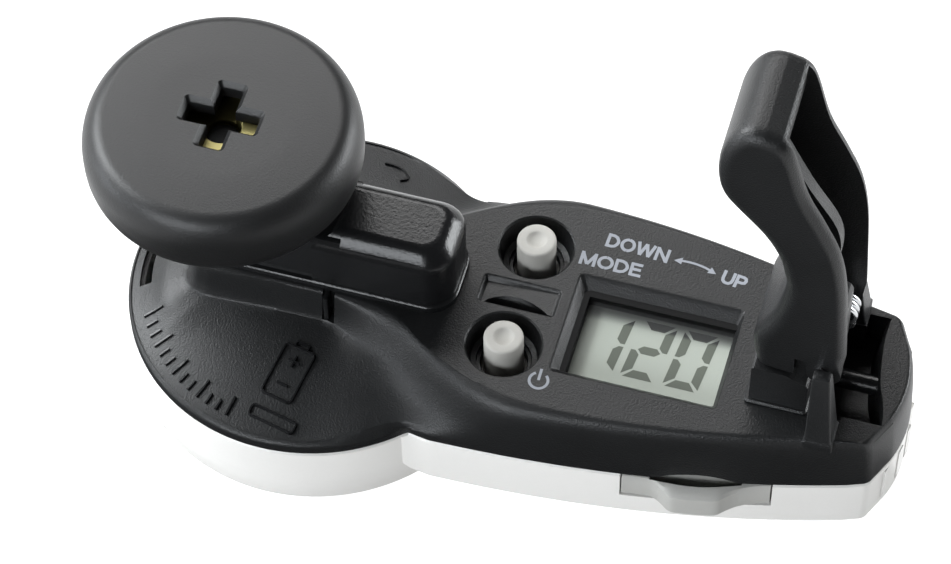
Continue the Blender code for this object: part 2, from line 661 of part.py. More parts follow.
def arm_spring():
    """Torsion spring coiled round the hinge pin."""
    turns, wire, radius, sides = 3.5, 0.35, 1.75, 6
    steps = int(turns * 12)
    points, faces = [], []
    for i in range(steps + 1):
        a = 2 * math.pi * i / 12
        y = 1.3 + (2 * wire + 0.12) * i / 12
        for j in range(sides):
            b = 2 * math.pi * j / sides
            reach = radius + wire * math.cos(b)
            points.append((PIVOT_X + reach * math.cos(a), y + wire * math.sin(b),
                           PIVOT_Z - reach * math.sin(a)))
    for i in range(steps):
        for j in range(sides):
            k = (j + 1) % sides
            faces.append((i * sides + j, (i + 1) * sides + j, (i + 1) * sides + k, i * sides + k))
    faces.append(tuple(range(sides)))
    faces.append(tuple(steps * sides + j for j in reversed(range(sides))))
    return solid("arm_spring", points, faces)


# ------------------------------------------------------------------ assembly
def build():
    clear_scene()
    black = material("cover_black", (0.022, 0.022, 0.023), 0.55)
    block_black = material("block_black", (0.018, 0.018, 0.020), 0.42)
    white = material("shell_white", (0.82, 0.83, 0.84), 0.38)
    rubber = material("wheel_rubber", (0.040, 0.040, 0.042), 0.60)
    grey = material("button_grey", (0.56, 0.56, 0.53), 0.45)
    drawer_grey = material("drawer_grey", (0.46, 0.47, 0.47), 0.45)
    brass = material("brass", (0.55, 0.50, 0.22), 0.35, 1.0)
    steel = material("steel", (0.55, 0.56, 0.58), 0.30, 1.0)
    dark_steel = material("dark_steel", (0.12, 0.12, 0.13), 0.40, 1.0)
    nylon = material("gear_nylon", (0.80, 0.79, 0.74), 0.50)
    board_green = material("board_green", (0.03, 0.16, 0.07), 0.45)
    glass = material("lcd_glass", (0.40, 0.44, 0.37), 0.20)
    clear = material("window_clear", (0.90, 0.92, 0.92), 0.10)
    chip = material("chip_black", (0.02, 0.02, 0.02), 0.50)

    made = {}

    def keep(item, finish_material):
        made[item.name] = finish(item, finish_material)

    keep(upper_cover(), black)
    keep(lower_shell(), white)
    keep(gear_housing(), block_black)
    keep(measuring_wheel(), rubber)
    keep(wheel_bush(), brass)
    keep(turned("wheel_screw", WHEEL_X, 0, [(2.0, 33.5), (2.0, 34.5), (1.6, 34.8)], 20), dark_steel)
    keep(turned("wheel_axle", WHEEL_X, 0, [(AXLE_R, 16.8), (AXLE_R, 33.2)], 20), steel)
    bearing = turned("axle_bearing_lower", WHEEL_X, 0, [(3.0, 14.6), (3.0, 17.6)], 20)
    cut(bearing, turned("bore", WHEEL_X, 0, [(AXLE_R + 0.06, 15.4), (AXLE_R + 0.06, 18)], 20))
    keep(bearing, nylon)
    bearing = turned("axle_bearing_upper", WHEEL_X, 0, [(3.0, 25.9), (3.0, 28.5)], 20)
    cut(bearing, turned("bore", WHEEL_X, 0, [(AXLE_R + 0.06, 25), (AXLE_R + 0.06, 29)], 20))
    keep(bearing, brass)
    keep(gear("drive_gear", WHEEL_X, DRIVE_TEETH, AXLE_R + 0.1), nylon)
    facing = math.pi + math.pi / SMALL_TEETH
    keep(gear("idler_gear_first", FIRST_IDLER_X, SMALL_TEETH, 0.9, facing), nylon)
    keep(gear("idler_gear_second", SECOND_IDLER_X, SMALL_TEETH, 0.9, facing), nylon)
    keep(gear("encoder_pinion", ENCODER_X, SMALL_TEETH, 0.9, facing), nylon)
    for name, x in (("idler_pin_first", FIRST_IDLER_X), ("idler_pin_second", SECOND_IDLER_X)):
        keep(turned(name, x, 0, [(0.8, 14.9), (0.8, GEAR_Z1 + 0.2)], 12), steel)
    keep(turned("encoder_arbor", ENCODER_X, 0, [(0.8, 2.8), (0.8, GEAR_Z1)], 12), steel)
    bearing = turned("arbor_bearing", ENCODER_X, 0, [(1.4, 2.2), (1.4, 3.6)], 16)
    cut(bearing, turned("bore", ENCODER_X, 0, [(0.86, 2.5), (0.86, 4)], 12))
    keep(bearing, brass)
    keep(encoder_disc(), chip)
    keep(encoder_sensor(), chip)
    board = prism("circuit_board", [(17.2, -8.6), (57.4, -8.6), (57.4, 8.6), (17.2, 8.6)],
                  BOARD_Z0, BOARD_Z1)
    keep(board, board_green)

    for side, label in ((1, "mode"), (-1, "power")):
        y = side * BUTTON_Y
        keep(button(f"{label}_button", side), grey)
        keep(turned(f"{label}_switch", BUTTON_X, y, [(1.9, BOARD_Z1 + 0.05), (1.9, 9.85), (1.1, 10.0)],
                    16), steel)
    for label in ("mode_button", "power_button"):
        side = 1 if label == "mode_button" else -1
        set_origin(made[label], BUTTON_X, side * BUTTON_Y, 11.0)
    keep(box("display_window", (31.4, -9.1, 13.5), (51.2, 4.9, 14.4)), clear)
    keep(box("lcd_panel", (31.4, -9.1, 11.9), (51.2, 4.9, 13.2)), glass)
    keep(box("lcd_connector", (31.6, 3.0, BOARD_Z1 + GAP), (50.6, 4.4, 11.6)), chip)
    keep(lcd_holder(), block_black)
    keep(battery_drawer(), drawer_grey)
    keep(coin_cell(), steel)
    keep(battery_contact("battery_contact_upper", 7.95, 8.25, -7.0, 5.0), steel)
    keep(battery_contact("battery_contact_lower", 1.8, 2.1, -6.0, 1.0), steel)
    keep(hinge_block(), block_black)
    keep(clip_arm(), black)
    keep(rod_y("hinge_pin", PIVOT_X, PIVOT_Z, PIN_R, -8.0, 8.0), steel)
    keep(arm_spring(), steel)
    keep(rod_x("lanyard_bar", 0.0, BAR_Z, BAR_R, 61.1, 68.4, 16), dark_steel)
    for name, (x, y) in case_screw_places().items():
        profile = [(2.0, SCREW_HEAD_Z - 1.2), (2.0, SCREW_HEAD_Z), (1.1, SCREW_HEAD_Z),
                   (1.1, screw_top(name))]
        keep(turned(name, x, y, profile, 12), dark_steel)
    for name in ("measuring_wheel", "wheel_bush", "wheel_screw", "wheel_axle", "drive_gear"):
        set_origin(made[name], WHEEL_X, 0.0, WHEEL_Z0)
    set_origin(made["idler_gear_first"], FIRST_IDLER_X, 0.0, GEAR_Z0)
    set_origin(made["idler_gear_second"], SECOND_IDLER_X, 0.0, GEAR_Z0)
    for name in ("encoder_pinion", "encoder_arbor", "encoder_disc"):
        set_origin(made[name], ENCODER_X, 0.0, GEAR_Z0)
    set_origin(made["clip_arm"], PIVOT_X, 0.0, PIVOT_Z)
    return made


build()
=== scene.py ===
"""Looks of the hand-held measuring wheel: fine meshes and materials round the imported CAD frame.

Sizes are in millimetres. Heights are measured from the foot of the long body's side wall, as in
the CAD source, and place() raises them by BASE_DROP into the frame.
"""

import json
import math

import bpy
from mathutils import Matrix, Vector
from mathutils.bvhtree import BVHTree

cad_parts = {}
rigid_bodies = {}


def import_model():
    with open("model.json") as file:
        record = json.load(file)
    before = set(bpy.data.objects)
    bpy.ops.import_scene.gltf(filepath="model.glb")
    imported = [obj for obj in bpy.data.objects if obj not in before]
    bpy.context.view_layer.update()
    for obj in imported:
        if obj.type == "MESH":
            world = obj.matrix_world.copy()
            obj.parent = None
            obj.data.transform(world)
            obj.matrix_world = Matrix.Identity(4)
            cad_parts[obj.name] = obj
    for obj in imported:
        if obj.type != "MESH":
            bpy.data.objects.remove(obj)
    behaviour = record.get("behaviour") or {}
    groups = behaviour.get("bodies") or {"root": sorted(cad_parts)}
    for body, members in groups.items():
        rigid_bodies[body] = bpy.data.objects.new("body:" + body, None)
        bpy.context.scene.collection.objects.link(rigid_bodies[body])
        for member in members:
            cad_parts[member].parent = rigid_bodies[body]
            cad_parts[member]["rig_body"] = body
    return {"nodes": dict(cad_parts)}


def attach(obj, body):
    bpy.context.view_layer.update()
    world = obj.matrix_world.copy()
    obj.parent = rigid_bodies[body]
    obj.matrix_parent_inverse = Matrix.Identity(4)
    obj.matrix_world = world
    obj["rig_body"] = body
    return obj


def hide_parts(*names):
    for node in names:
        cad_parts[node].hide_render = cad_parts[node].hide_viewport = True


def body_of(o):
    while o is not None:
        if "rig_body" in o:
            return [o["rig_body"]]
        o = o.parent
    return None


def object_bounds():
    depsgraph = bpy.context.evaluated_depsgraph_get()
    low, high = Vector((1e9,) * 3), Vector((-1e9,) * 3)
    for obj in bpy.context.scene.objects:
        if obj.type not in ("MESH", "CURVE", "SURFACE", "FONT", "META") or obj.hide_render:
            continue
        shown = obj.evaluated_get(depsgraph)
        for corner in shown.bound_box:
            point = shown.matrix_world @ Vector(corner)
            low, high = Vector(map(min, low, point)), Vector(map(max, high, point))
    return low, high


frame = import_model()
cad_low, cad_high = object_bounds()

MM = 0.001
BASE_DROP = 3.7
TOP_Z = 16.0

# --- Casing
BODY_DROP, ROUND_DROP = 8.0, 9.6
ROUND_R, NECK_Y = 22.25, 16.2
NECK_X = math.sqrt(ROUND_R ** 2 - NECK_Y ** 2)
BODY_HALF, BODY_X = 17.0, 14.4
TAPER, TAPER_POWER = 0.00121, 2.2
END_X, END_BULGE = 71.3, 0.035
END_CORNER_X, SADDLE_END_X = 67.9, 28.5
PLATEAU_LEFT, PLATEAU_HALF = -12.7, 5.45
WALL, FLOOR, GAP = 1.4, 1.5, 0.3
BELLY = 3.2

# --- Wheel and gear housing
WHEEL_X, WHEEL_R = -9.68, 15.9
WHEEL_Z0, WHEEL_Z1 = 29.15, 38.0
CROWN = 0.22
SOCKET_HALF, SOCKET_ARM, SOCKET_CHAMFER, SOCKET_DEPTH = 4.2, 1.25, 0.62, 2.2
BLOCK_X0, BLOCK_X1, BLOCK_HALF, BLOCK_TOP = 1.5, 17.9, 5.0, 25.7
IDLER_X, ENCODER_X = (-2.68, 3.82), 10.32

# --- Controls and display
BUTTON_X, BUTTON_Y, BUTTON_R, BUTTON_TOP = 24.98, 6.96, 2.34, 17.6
WINDOW_TOP = (30.9, -8.9, 50.4, 4.85)
WINDOW_LOW = (32.5, -7.6, 49.7, 2.75)
PANEL_PLAN, PANEL_TOP = (31.4, -9.1, 51.2, 4.9), 13.2

# --- Folding arm and drawer
ARM_HALF, ARM_WALL = 6.4, 1.4
PIVOT_X, PIVOT_Z, PIN_R, LUG_R = 61.6, 24.2, 0.9, 2.0
BAR_Z, BAR_R = 14.5, 1.15
DRAWER_X0, DRAWER_X1, DRAWER_Z0, DRAWER_Z1 = 41.3, 58.0, 3.7, 7.7


# ---------- mesh helpers
def place(point):
    x, y, z = point
    return (x * MM, y * MM, (z + BASE_DROP) * MM)


def link(made):
    bpy.context.scene.collection.objects.link(made)
    return made


def solid(name, points, faces):
    """Make an object from points in millimetres."""
    mesh = bpy.data.meshes.new(name)
    mesh.from_pydata([place(p) for p in points], [], faces)
    mesh.update()
    return link(bpy.data.objects.new(name, mesh))


def rings_solid(name, rings):
    """Close a stack of equal point rings with one cap at each end."""
    count = len(rings[0])
    faces = [tuple(reversed(range(count)))]
    for level in range(len(rings) - 1):
        low, high = level * count, (level + 1) * count
        for i in range(count):
            j = (i + 1) % count
            faces.append((low + i, low + j, high + j, high + i))
    last = (len(rings) - 1) * count
    faces.append(tuple(last + i for i in range(count)))
    return solid(name, [p for ring in rings for p in ring], faces)


def at_height(outline, z):
    return [(x, y, z) for x, y in outline]


def prism(name, outline, z0, z1):
    return rings_solid(name, [at_height(outline, z) for z in (z0, z1)])


def box(name, low, high):
    x0, y0, z0 = low
    x1, y1, z1 = high
    return prism(name, [(x0, y0), (x1, y0), (x1, y1), (x0, y1)], z0, z1)


def circle(x, y, radius, count):
    step = 2 * math.pi / count
    return [(x + radius * math.cos(i * step), y + radius * math.sin(i * step))
            for i in range(count)]


def turned(name, x, y, profile, count=64):
    """Solid of revolution about a vertical axis; the profile runs upwards as (radius, z)."""
    return rings_solid(name, [at_height(circle(x, y, radius, count), z) for radius, z in profile])


def side_prism(name, outline, y0, y1):
    """Prism along Y over an anticlockwise outline given as (x, z)."""
    return rings_solid(name, [[(x, y, z) for x, z in outline] for y in (y1, y0)])


def rod_y(name, x, z, radius, y0, y1, count=32):
    return side_prism(name, circle(x, z, radius, count), y0, y1)


def apply_modifiers(target):
    graph = bpy.context.evaluated_depsgraph_get()
    result = bpy.data.meshes.new_from_object(target.evaluated_get(graph))
    target.modifiers.clear()
    target.data = result


def combine(target, operation, tools):
    """Apply Booleans one after another and remove the tools."""
    for tool in tools:
        modifier = target.modifiers.new("boolean", "BOOLEAN")
        modifier.object = tool
        modifier.operation = operation
        modifier.solver = "MANIFOLD"
        apply_modifiers(target)
        bpy.data.objects.remove(tool, do_unlink=True)


def cut(target, *tools):
    combine(target, "DIFFERENCE", tools)


def add(target, *tools):
    combine(target, "UNION", tools)


def bevel(target, width, segments=3, angle=40):
    """Round every edge sharper than the angle."""
    modifier = target.modifiers.new("bevel", "BEVEL")
    modifier.width = width * MM
    modifier.segments = segments
    modifier.limit_method = "ANGLE"
    modifier.angle_limit = math.radians(angle)
    modifier.harden_normals = False
    apply_modifiers(target)


def mix(a, b, t):
    return a + (b - a) * t


def clamp(value):
    return min(max(value, 0.0), 1.0)


def smooth(t):
    return t * t * (3 - 2 * t)


def polar(degrees, radius):
    a = math.radians(degrees)
    return radius * math.cos(a), radius * math.sin(a)


def turn(points, degrees):
    """Rotate plan points about the origin."""
    c, s = polar(degrees, 1.0)
    return [(x * c - y * s, x * s + y * c) for x, y in points]


def catmull(p0, p1, p2, p3, t):
    """One coordinate of a Catmull-Rom curve between p1 and p2."""
    return 0.5 * (2 * p1 + (p2 - p0) * t + (2 * p0 - 5 * p1 + 4 * p2 - p3) * t * t
                  + (3 * p1 - p0 - 3 * p2 + p3) * t ** 3)


def refine(points, parts):
    """Smooth open chain through the points, with so many spans between neighbours."""
    out = []
    for i in range(len(points) - 1):
        a, b = points[max(i - 1, 0)], points[i]
        c, d = points[i + 1], points[min(i + 2, len(points) - 1)]
        for k in range(parts):
            t = k / parts
            out.append(tuple(catmull(pa, pb, pc, pd, t) for pa, pb, pc, pd in zip(a, b, c, d)))
    return out + [tuple(points[-1])]


def spread(start, stop, count):
    """Evenly spaced values from start up to, but without, stop."""
    return [mix(start, stop, i / count) for i in range(count)]


def corner(centre, radius, start, stop, count):
    """Arc of so many points, both ends included; the angles are in degrees."""
    arc = [polar(mix(start, stop, i / (count - 1)), radius) for i in range(count)]
    return [(centre[0] + x, centre[1] + y) for x, y in arc]


def offset_curve(points, distance):
    """Move an open curve to its left-hand side."""
    moved = []
    for i, (x, z) in enumerate(points):
        ax, az = points[max(i - 1, 0)]
        bx, bz = points[min(i + 1, len(points) - 1)]
        size = math.hypot(bx - ax, bz - az)
        moved.append((x - (bz - az) / size * distance, z + (bx - ax) / size * distance))
    return moved


def inset(outline, distance):
    """Move an anticlockwise outline inwards along its corner normals."""
    moved = []
    for i, (x, y) in enumerate(outline):
        ax, ay = outline[i - 1]
        bx, by = outline[(i + 1) % len(outline)]
        before = max(math.hypot(x - ax, y - ay), 1e-6)
        after = max(math.hypot(bx - x, by - y), 1e-6)
        nx = (y - ay) / before + (by - y) / after
        ny = -(x - ax) / before - (bx - x) / after
        size = max(math.hypot(nx, ny), 1e-6)
        reach = distance / max(size / 2, 0.75)
        moved.append((x - nx / size * reach, y - ny / size * reach))
    return moved


# ---------- materials
def node(tree, kind, **values):
    made = tree.nodes.new(kind)
    for key, value in values.items():
        if key in made.inputs:
            made.inputs[key].default_value = value
        else:
            setattr(made, key, value)
    return made


def fill(made, values):
    for key, value in values.items():
        made.inputs[key].default_value = value


def plastic(name, colour, rough, grain=0.0, grain_size=0.25, mottle=0.12, specular=0.5,
            metallic=0.0, coat=0.0, alpha=1.0, scratches=0.0):
    """Moulded finish: fine grain, slow colour and gloss variation, and optional handling marks.

    grain is the height of the texture in millimetres and grain_size its pitch.
    """
    made = bpy.data.materials.new(name)
    made.use_nodes = True
    tree = made.node_tree
    shader = tree.nodes["Principled BSDF"]
    join = tree.links.new
    fill(shader, {"Metallic": metallic, "Specular IOR Level": specular, "Coat Weight": coat,
                  "Alpha": alpha})
    where = tree.nodes.new("ShaderNodeTexCoord")
    fine = node(tree, "ShaderNodeTexNoise", Scale=1000 / grain_size, Detail=2.0, Roughness=0.55)
    slow = node(tree, "ShaderNodeTexNoise", Scale=90.0, Detail=3.0, Roughness=0.6)
    for texture in (fine, slow):
        join(where.outputs["Object"], texture.inputs["Vector"])
    speckle = node(tree, "ShaderNodeMix", data_type="FLOAT")
    speckle.inputs[0].default_value = 0.35
    join(slow.outputs["Fac"], speckle.inputs[2])
    join(fine.outputs["Fac"], speckle.inputs[3])
    ramp = tree.nodes.new("ShaderNodeValToRGB")
    ramp.color_ramp.elements[0].position = 0.3
    ramp.color_ramp.elements[1].position = 0.7
    ramp.color_ramp.elements[0].color = (*[c * (1 - mottle) for c in colour], 1)
    ramp.color_ramp.elements[1].color = (*[min(c * (1 + mottle), 1) for c in colour], 1)
    join(speckle.outputs[0], ramp.inputs["Fac"])
    join(ramp.outputs["Color"], shader.inputs["Base Color"])
    gloss = node(tree, "ShaderNodeMapRange")
    fill(gloss, {"To Min": max(rough - 0.06, 0.02), "To Max": rough + 0.06})
    join(speckle.outputs[0], gloss.inputs["Value"])
    join(gloss.outputs["Result"], shader.inputs["Roughness"])
    height = fine.outputs["Fac"]
    if scratches:
        drawn = node(tree, "ShaderNodeMapping")
        drawn.inputs["Scale"].default_value = (1.0, 14.0, 14.0)
        marks = node(tree, "ShaderNodeTexNoise", Scale=260.0, Detail=4.0, Roughness=0.7)
        both = node(tree, "ShaderNodeMath", operation="ADD")
        join(where.outputs["Object"], drawn.inputs["Vector"])
        join(drawn.outputs["Vector"], marks.inputs["Vector"])
        join(marks.outputs["Fac"], both.inputs[0])
        join(fine.outputs["Fac"], both.inputs[1])
        height = both.outputs[0]
        grain = grain + scratches
    bump = node(tree, "ShaderNodeBump", Strength=1.0, Distance=max(grain, 0.002) * MM)
    join(height, bump.inputs["Height"])
    join(bump.outputs["Normal"], shader.inputs["Normal"])
    return made


LOOKS = {
    "cover_black": plastic("cover_plastic", (0.0074, 0.0077, 0.0081), 0.40, 0.052, 0.20, 0.2, 0.33),
    "block_black": plastic("block_plastic", (0.0062, 0.0064, 0.0068), 0.25, 0.030, 0.34, 0.2, 0.29),
    "shell_white": plastic("shell_plastic", (0.625, 0.615, 0.595), 0.34, 0.002, 0.4, 0.02, 0.45),
    "wheel_rubber": plastic("wheel_skin", (0.0068, 0.0069, 0.0072), 0.44, 0.026, 0.24, 0.15, 0.38),
    "button_grey": plastic("button_plastic", (0.38, 0.37, 0.345), 0.55, 0.006, 0.3, 0.03, 0.25),
    "drawer_grey": plastic("drawer_plastic", (0.34, 0.337, 0.320), 0.42, 0.004, 0.3, 0.03, 0.5),
    "brass": plastic("brass_metal", (0.22, 0.195, 0.085), 0.46, 0.002, 0.2, 0.10, 0.5, metallic=1.0,
                     scratches=0.003),
    "steel": plastic("bright_steel", (0.56, 0.57, 0.58), 0.26, 0.001, 0.2, 0.06, 0.5,
                     metallic=1.0, scratches=0.002),
    "dark_steel": plastic("black_steel", (0.05, 0.05, 0.052), 0.34, 0.001, 0.2, 0.10, 0.5,
                          metallic=1.0, scratches=0.002),
    "gear_nylon": plastic("nylon", (0.78, 0.76, 0.70), 0.42, 0.003, 0.3, 0.04, 0.5),
    "board_green": plastic("board_resist", (0.02, 0.13, 0.05), 0.30, 0.004, 0.8, 0.18, 0.5,
                           coat=0.4),
    "lcd_glass": plastic("display_panel", (0.300, 0.323, 0.283), 0.60, 0.0, 0.5, 0.02, 0.1),
    "window_clear": plastic("window_acrylic", (0.96, 0.97, 0.97), 0.25, 0.0, 0.5, 0.0, 0.1,
                            alpha=0.02),
    "chip_black": plastic("resin_black", (0.016, 0.016, 0.016), 0.5, 0.004, 0.2, 0.10, 0.5),
}
PRINT = plastic("print_white", (0.225, 0.237, 0.262), 0.55, 0.004, 0.15, 0.10, 0.3)
SEGMENT = plastic("segment_olive", (0.074, 0.084, 0.065), 0.70, 0.0, 0.5, 0.02, 0.05)
# Painted shade: a near-black, darker than the casing's plastics, put on the screw at the socket's
# centre and on the lip under the display window so they look shaded
SHADE_BLACK = plastic("painted_shade_black", (0.0030, 0.0030, 0.0032), 0.6, 0.004, 0.2, 0.10, 0.12)


def shade_far_edge(material, start, stop, darkest):
    """Paint the window's far-wall shadow into a display colour: darker towards the panel's far edge,
    under the window's lip.
    """
    tree = material.node_tree
    shader = tree.nodes["Principled BSDF"]
    join = tree.links.new
    painted = shader.inputs["Base Color"].links[0].from_socket
    where = tree.nodes.new("ShaderNodeTexCoord")
    axes = tree.nodes.new("ShaderNodeSeparateXYZ")
    band = node(tree, "ShaderNodeMapRange", interpolation_type="SMOOTHSTEP")
    fill(band, {"From Min": start * MM, "From Max": stop * MM, "To Min": 1.0, "To Max": darkest})
    shade = node(tree, "ShaderNodeVectorMath", operation="SCALE")
    join(where.outputs["Object"], axes.inputs["Vector"])
    join(axes.outputs["Y"], band.inputs["Value"])
    join(painted, shade.inputs[0])
    join(band.outputs["Result"], shade.inputs["Scale"])
    join(shade.outputs["Vector"], shader.inputs["Base Color"])


# Painted shadow of the window's far wall, on the display panel and on its digits
shade_far_edge(LOOKS["lcd_glass"], 0.7, 2.5, 0.16)
shade_far_edge(SEGMENT, 0.9, 1.5, 0.06)


def dress(item, slot, look=None, angle=34, body="casing"):
    """Give a new piece its finish and shading and attach it to its body; slot names the finish used
    when no look is given.
    """
    item.data.materials.clear()
    item.data.materials.append(look or LOOKS[slot])
    item.data.shade_smooth()
    item.data.set_sharp_from_angle(angle=math.radians(angle))
    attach(item, body)
    return item


def keep_weighted(item):
    """Let the large flat faces keep their own shading beside rounded edges."""
    modifier = item.modifiers.new("weighted", "WEIGHTED_NORMAL")
    modifier.keep_sharp = True
    modifier.weight = 80


# ---------- casing outline
def half_width(x):
    return BODY_HALF - TAPER * max(x - BODY_X, 0.0) ** TAPER_POWER


def end_curve(x_end, y_values):
    return [(x_end - END_BULGE * y * y, y) for y in y_values]


def rim_half(draw_in=0.0):
    """Far half of the lower rim, from the round casing's left end to the body's end."""
    neck_y = NECK_Y - draw_in
    neck_x = math.sqrt(ROUND_R ** 2 - neck_y ** 2)
    turn = math.radians(140)
    angles = spread(math.pi, turn, 20) + spread(turn, math.atan2(neck_y, neck_x), 50)
    points = [(ROUND_R * math.cos(a), ROUND_R * math.sin(a)) for a in angles]
    points += [(neck_x, neck_y)]
    along = spread(neck_x + 1.0, SADDLE_END_X, 25)
    along += spread(SADDLE_END_X, END_CORNER_X - draw_in, 25)
    points += [(x, half_width(x) - draw_in - 0.4 * max(neck_x + 3.5 - x, 0) / 2.5) for x in along]
    points += corner((67.5 - draw_in, 7.75 - draw_in), 1.5, 75, 18, 9)
    ends = [(5.2 - 0.6 * draw_in) * (1 - i / 10) for i in range(10)]
    points += end_curve(END_X - draw_in, ends)
    return points + [(END_X - draw_in, 0.0)]


def ridge_offset(x):
    """Width of the rounded side wall, which narrows towards the hinge."""
    return 1.6 + 1.1 * ((67.3 - x) / 38.1) ** 3


def ridge_half():
    """Far half of the edge of the flat top, point for point beside the rim."""
    left = [(PLATEAU_LEFT, 0.0), (PLATEAU_LEFT, 1.6), (PLATEAU_LEFT, 3.2)]
    left += corner((PLATEAU_LEFT + 1.6, PLATEAU_HALF - 1.6), 1.6, 160, 120, 2)
    left += [(x, PLATEAU_HALF) for x in spread(PLATEAU_LEFT + 2.2, 10.4, 9)]
    left += [(11.2, 5.9), (12.6, 6.9)]
    body = [(13.9, 7.9), (16.2, 9.5), (19.2, 11.1), (22.4, 12.5), (25.6, 13.3)]
    body += [(x, half_width(x) - ridge_offset(x)) for x in spread(29.2, 67.0, 5)]
    edge = corner((66.6, 7.5), 1.5, 75, 18, 9)
    points = refine(left[:5] + [left[5]], 4)[:20] + refine(left[5:], 5)[:50] + [left[-1]]
    points += refine(body + [edge[0]], 5)[:50] + edge
    points += end_curve(END_X - 0.9, [5.1 * (1 - i / 10) for i in range(10)])
    return points + [(END_X - 0.9, 0.0)]


def full_outline(half):
    """Whole anticlockwise outline from its far half."""
    near = [(x, -y) for x, y in half]
    return near[:-1] + half[:0:-1]


# How the cover falls from its flat top's edge (0) to its rim (1): (way across, drop) pairs.
DECK_SECTION = [(0.0, 0.0), (0.010, 0.07), (0.022, 0.32), (0.036, 1.8), (0.058, 3.3), (0.12, 4.05),
                (0.50, 5.1), (0.925, 6.74), (0.965, 6.66), (1.0, 7.1), (1.0, 8.0)]
SADDLE_SECTION = [(0.0, 0.0), (0.05, 0.2), (0.12, 0.7), (0.20, 1.5), (0.30, 2.6), (0.42, 3.8),
                  (0.62, 5.3), (0.85, 6.3), (0.95, 6.7), (1.0, 7.1), (1.0, 8.0)]
SIDE_SECTION = [(0.0, 0.0), (0.15, 0.1), (0.32, 0.35), (0.48, 0.8), (0.60, 1.4), (0.70, 2.2),
                (0.80, 3.4), (0.88, 4.8), (0.94, 6.0), (0.98, 7.2), (1.0, 8.0)]
SECTION_PARTS = 3


def section_at(x):
    """Cross-section of the cover's edge at a rim point."""
    if x <= 2.0:
        first, second, t = DECK_SECTION, DECK_SECTION, 0.0
    elif x <= NECK_X:
        first, second, t = DECK_SECTION, SADDLE_SECTION, (x - 2.0) / (NECK_X - 2.0)
    else:
        t = min((x - NECK_X) / (SADDLE_END_X - NECK_X), 1.0)
        first, second = SADDLE_SECTION, SIDE_SECTION
    t = smooth(t)
    return [(mix(a, c, t), mix(b, d, t)) for (a, b), (c, d) in zip(first, second)]


def cover_height(x):
    return ROUND_DROP if x < NECK_X + 0.5 else BODY_DROP


def bell(value, middle, width):
    return math.exp(-((value - middle) / width) ** 2)


def lean(x):
    """How much further the plateau's wall spreads at its foot towards the left end."""
    return 2.6 * bell(x, -14.0, 7.0)


def cover_rings(ridge, rim, depth, parts):
    """Rings of the cover's outer (depth 0) or inner surface, from top to rim."""
    columns = []
    for (rx, ry), (ox, oy) in zip(ridge, rim):
        edge = (cover_height(ox) - depth) / BODY_DROP
        rise = smooth(clamp((ox - 4.0) / (NECK_X - 1.0)))
        inside = mix(ROUND_DROP, BODY_DROP, rise) / BODY_DROP
        inside *= (BODY_DROP - depth) / BODY_DROP
        column = []
        for across, drop in refine(section_at(ox), parts):
            across = min(across, 1.0)
            near_rim = clamp((across - 0.93) / 0.05)
            out = min(across * (1 + lean(rx) * (1 - across) ** 4), 1.0)
            column.append((mix(rx, ox, out), mix(ry, oy, out),
                           TOP_Z - depth - max(drop, 0.0) * mix(inside, edge, near_rim)))
        columns.append(column)
    rings = [list(ring) for ring in zip(*columns)]
    return [rings[0]] + [relax(ring, i / (len(rings) - 1)) for i, ring in enumerate(rings)][1:]


def relax(ring, level):
    """Soften a ring round the neck, so that the deck flows into the saddle; the rim stays."""
    strength = 0.5 * max(1.0 - (level / 0.88) ** 4, 0.0)
    for _ in range(40):
        eased = []
        for i, (x, y, z) in enumerate(ring):
            ax, ay, az = ring[i - 1]
            bx, by, bz = ring[(i + 1) % len(ring)]
            t = strength * bell(x, NECK_X + 1.0, 7.0)
            eased.append((mix(x, (ax + bx) / 2, t), mix(y, (ay + by) / 2, t),
                          mix(z, (az + bz) / 2, t)))
        ring = eased
    return ring


def upper_cover():
    """Black cover with its wells, display window, finger pocket and lanyard recess."""
    rim, ridge = full_outline(rim_half()), full_outline(ridge_half())
    outer = cover_rings(ridge, rim, 0.0, SECTION_PARTS)
    holding = at_height(inset(ridge, 0.25), TOP_Z)
    inner = cover_rings(inset(ridge, WALL), inset(rim, WALL), WALL, 1)
    inner = [inner[i] for i in (10, 7, 5, 3, 0)]
    rings = list(reversed(inner)) + list(reversed(outer)) + [holding]
    cover = rings_solid("cover_shell", rings)
    ceiling = TOP_Z - 0.7
    tub = [(60.6, -8.6), (68.4, -8.2), (70.0, -5.0), (70.0, 5.0), (68.4, 8.0), (60.6, 8.9)]
    additions = [prism("tub", tub, 8.6, ceiling),
                 box("pocket_wall", (19.3, -3.3, 12.6), (29.8, 3.1, ceiling))]
    cuts = [recess_cutter()]
    for side in (1, -1):
        y = side * BUTTON_Y
        additions.append(turned("well_wall", BUTTON_X, y, [(5.3, 11.4), (5.3, ceiling)], 48))
        cuts.append(turned("well", BUTTON_X, y, WELL_PROFILE, 72))
    for x, radius in ((WHEEL_X, 3.3), (IDLER_X[0], 1.0), (IDLER_X[1], 1.0), (ENCODER_X, 1.1)):
        cuts.append(turned("bore", x, 0, [(radius, 12), (radius, 17)], 24))
    cuts += [pocket_cutter(), lens_cutter(), window_cutter(),
             rod_x("bar_hole", 0.0, BAR_Z, BAR_R + 0.05, 60.9, 67.7),
             slot_cutter(), rim_slot_cutter(),
             rod_y("nail_gap", 49.7, -0.6, 9.8, -16.0, -12.2, 64)]
    add(cover, *additions)
    cut(cover, *cuts)
    return cover


WELL_PROFILE = [(2.7, 10.0), (2.7, 12.25), (2.8, 12.38), (3.15, 12.4), (3.2, 12.95), (3.27, 13.0),
                (3.75, 13.02), (3.86, 13.1), (4.02, 13.6), (4.27, 15.5), (4.36, 15.85),
                (4.55, 16.0), (4.9, 16.05), (5.2, 16.6)]


def rod_x(name, y, z, radius, x0, x1, count=24):
    rings = [[(x, y + dy, z + dz) for dy, dz in circle(0, 0, radius, count)] for x in (x0, x1)]
    return rings_solid(name, rings)


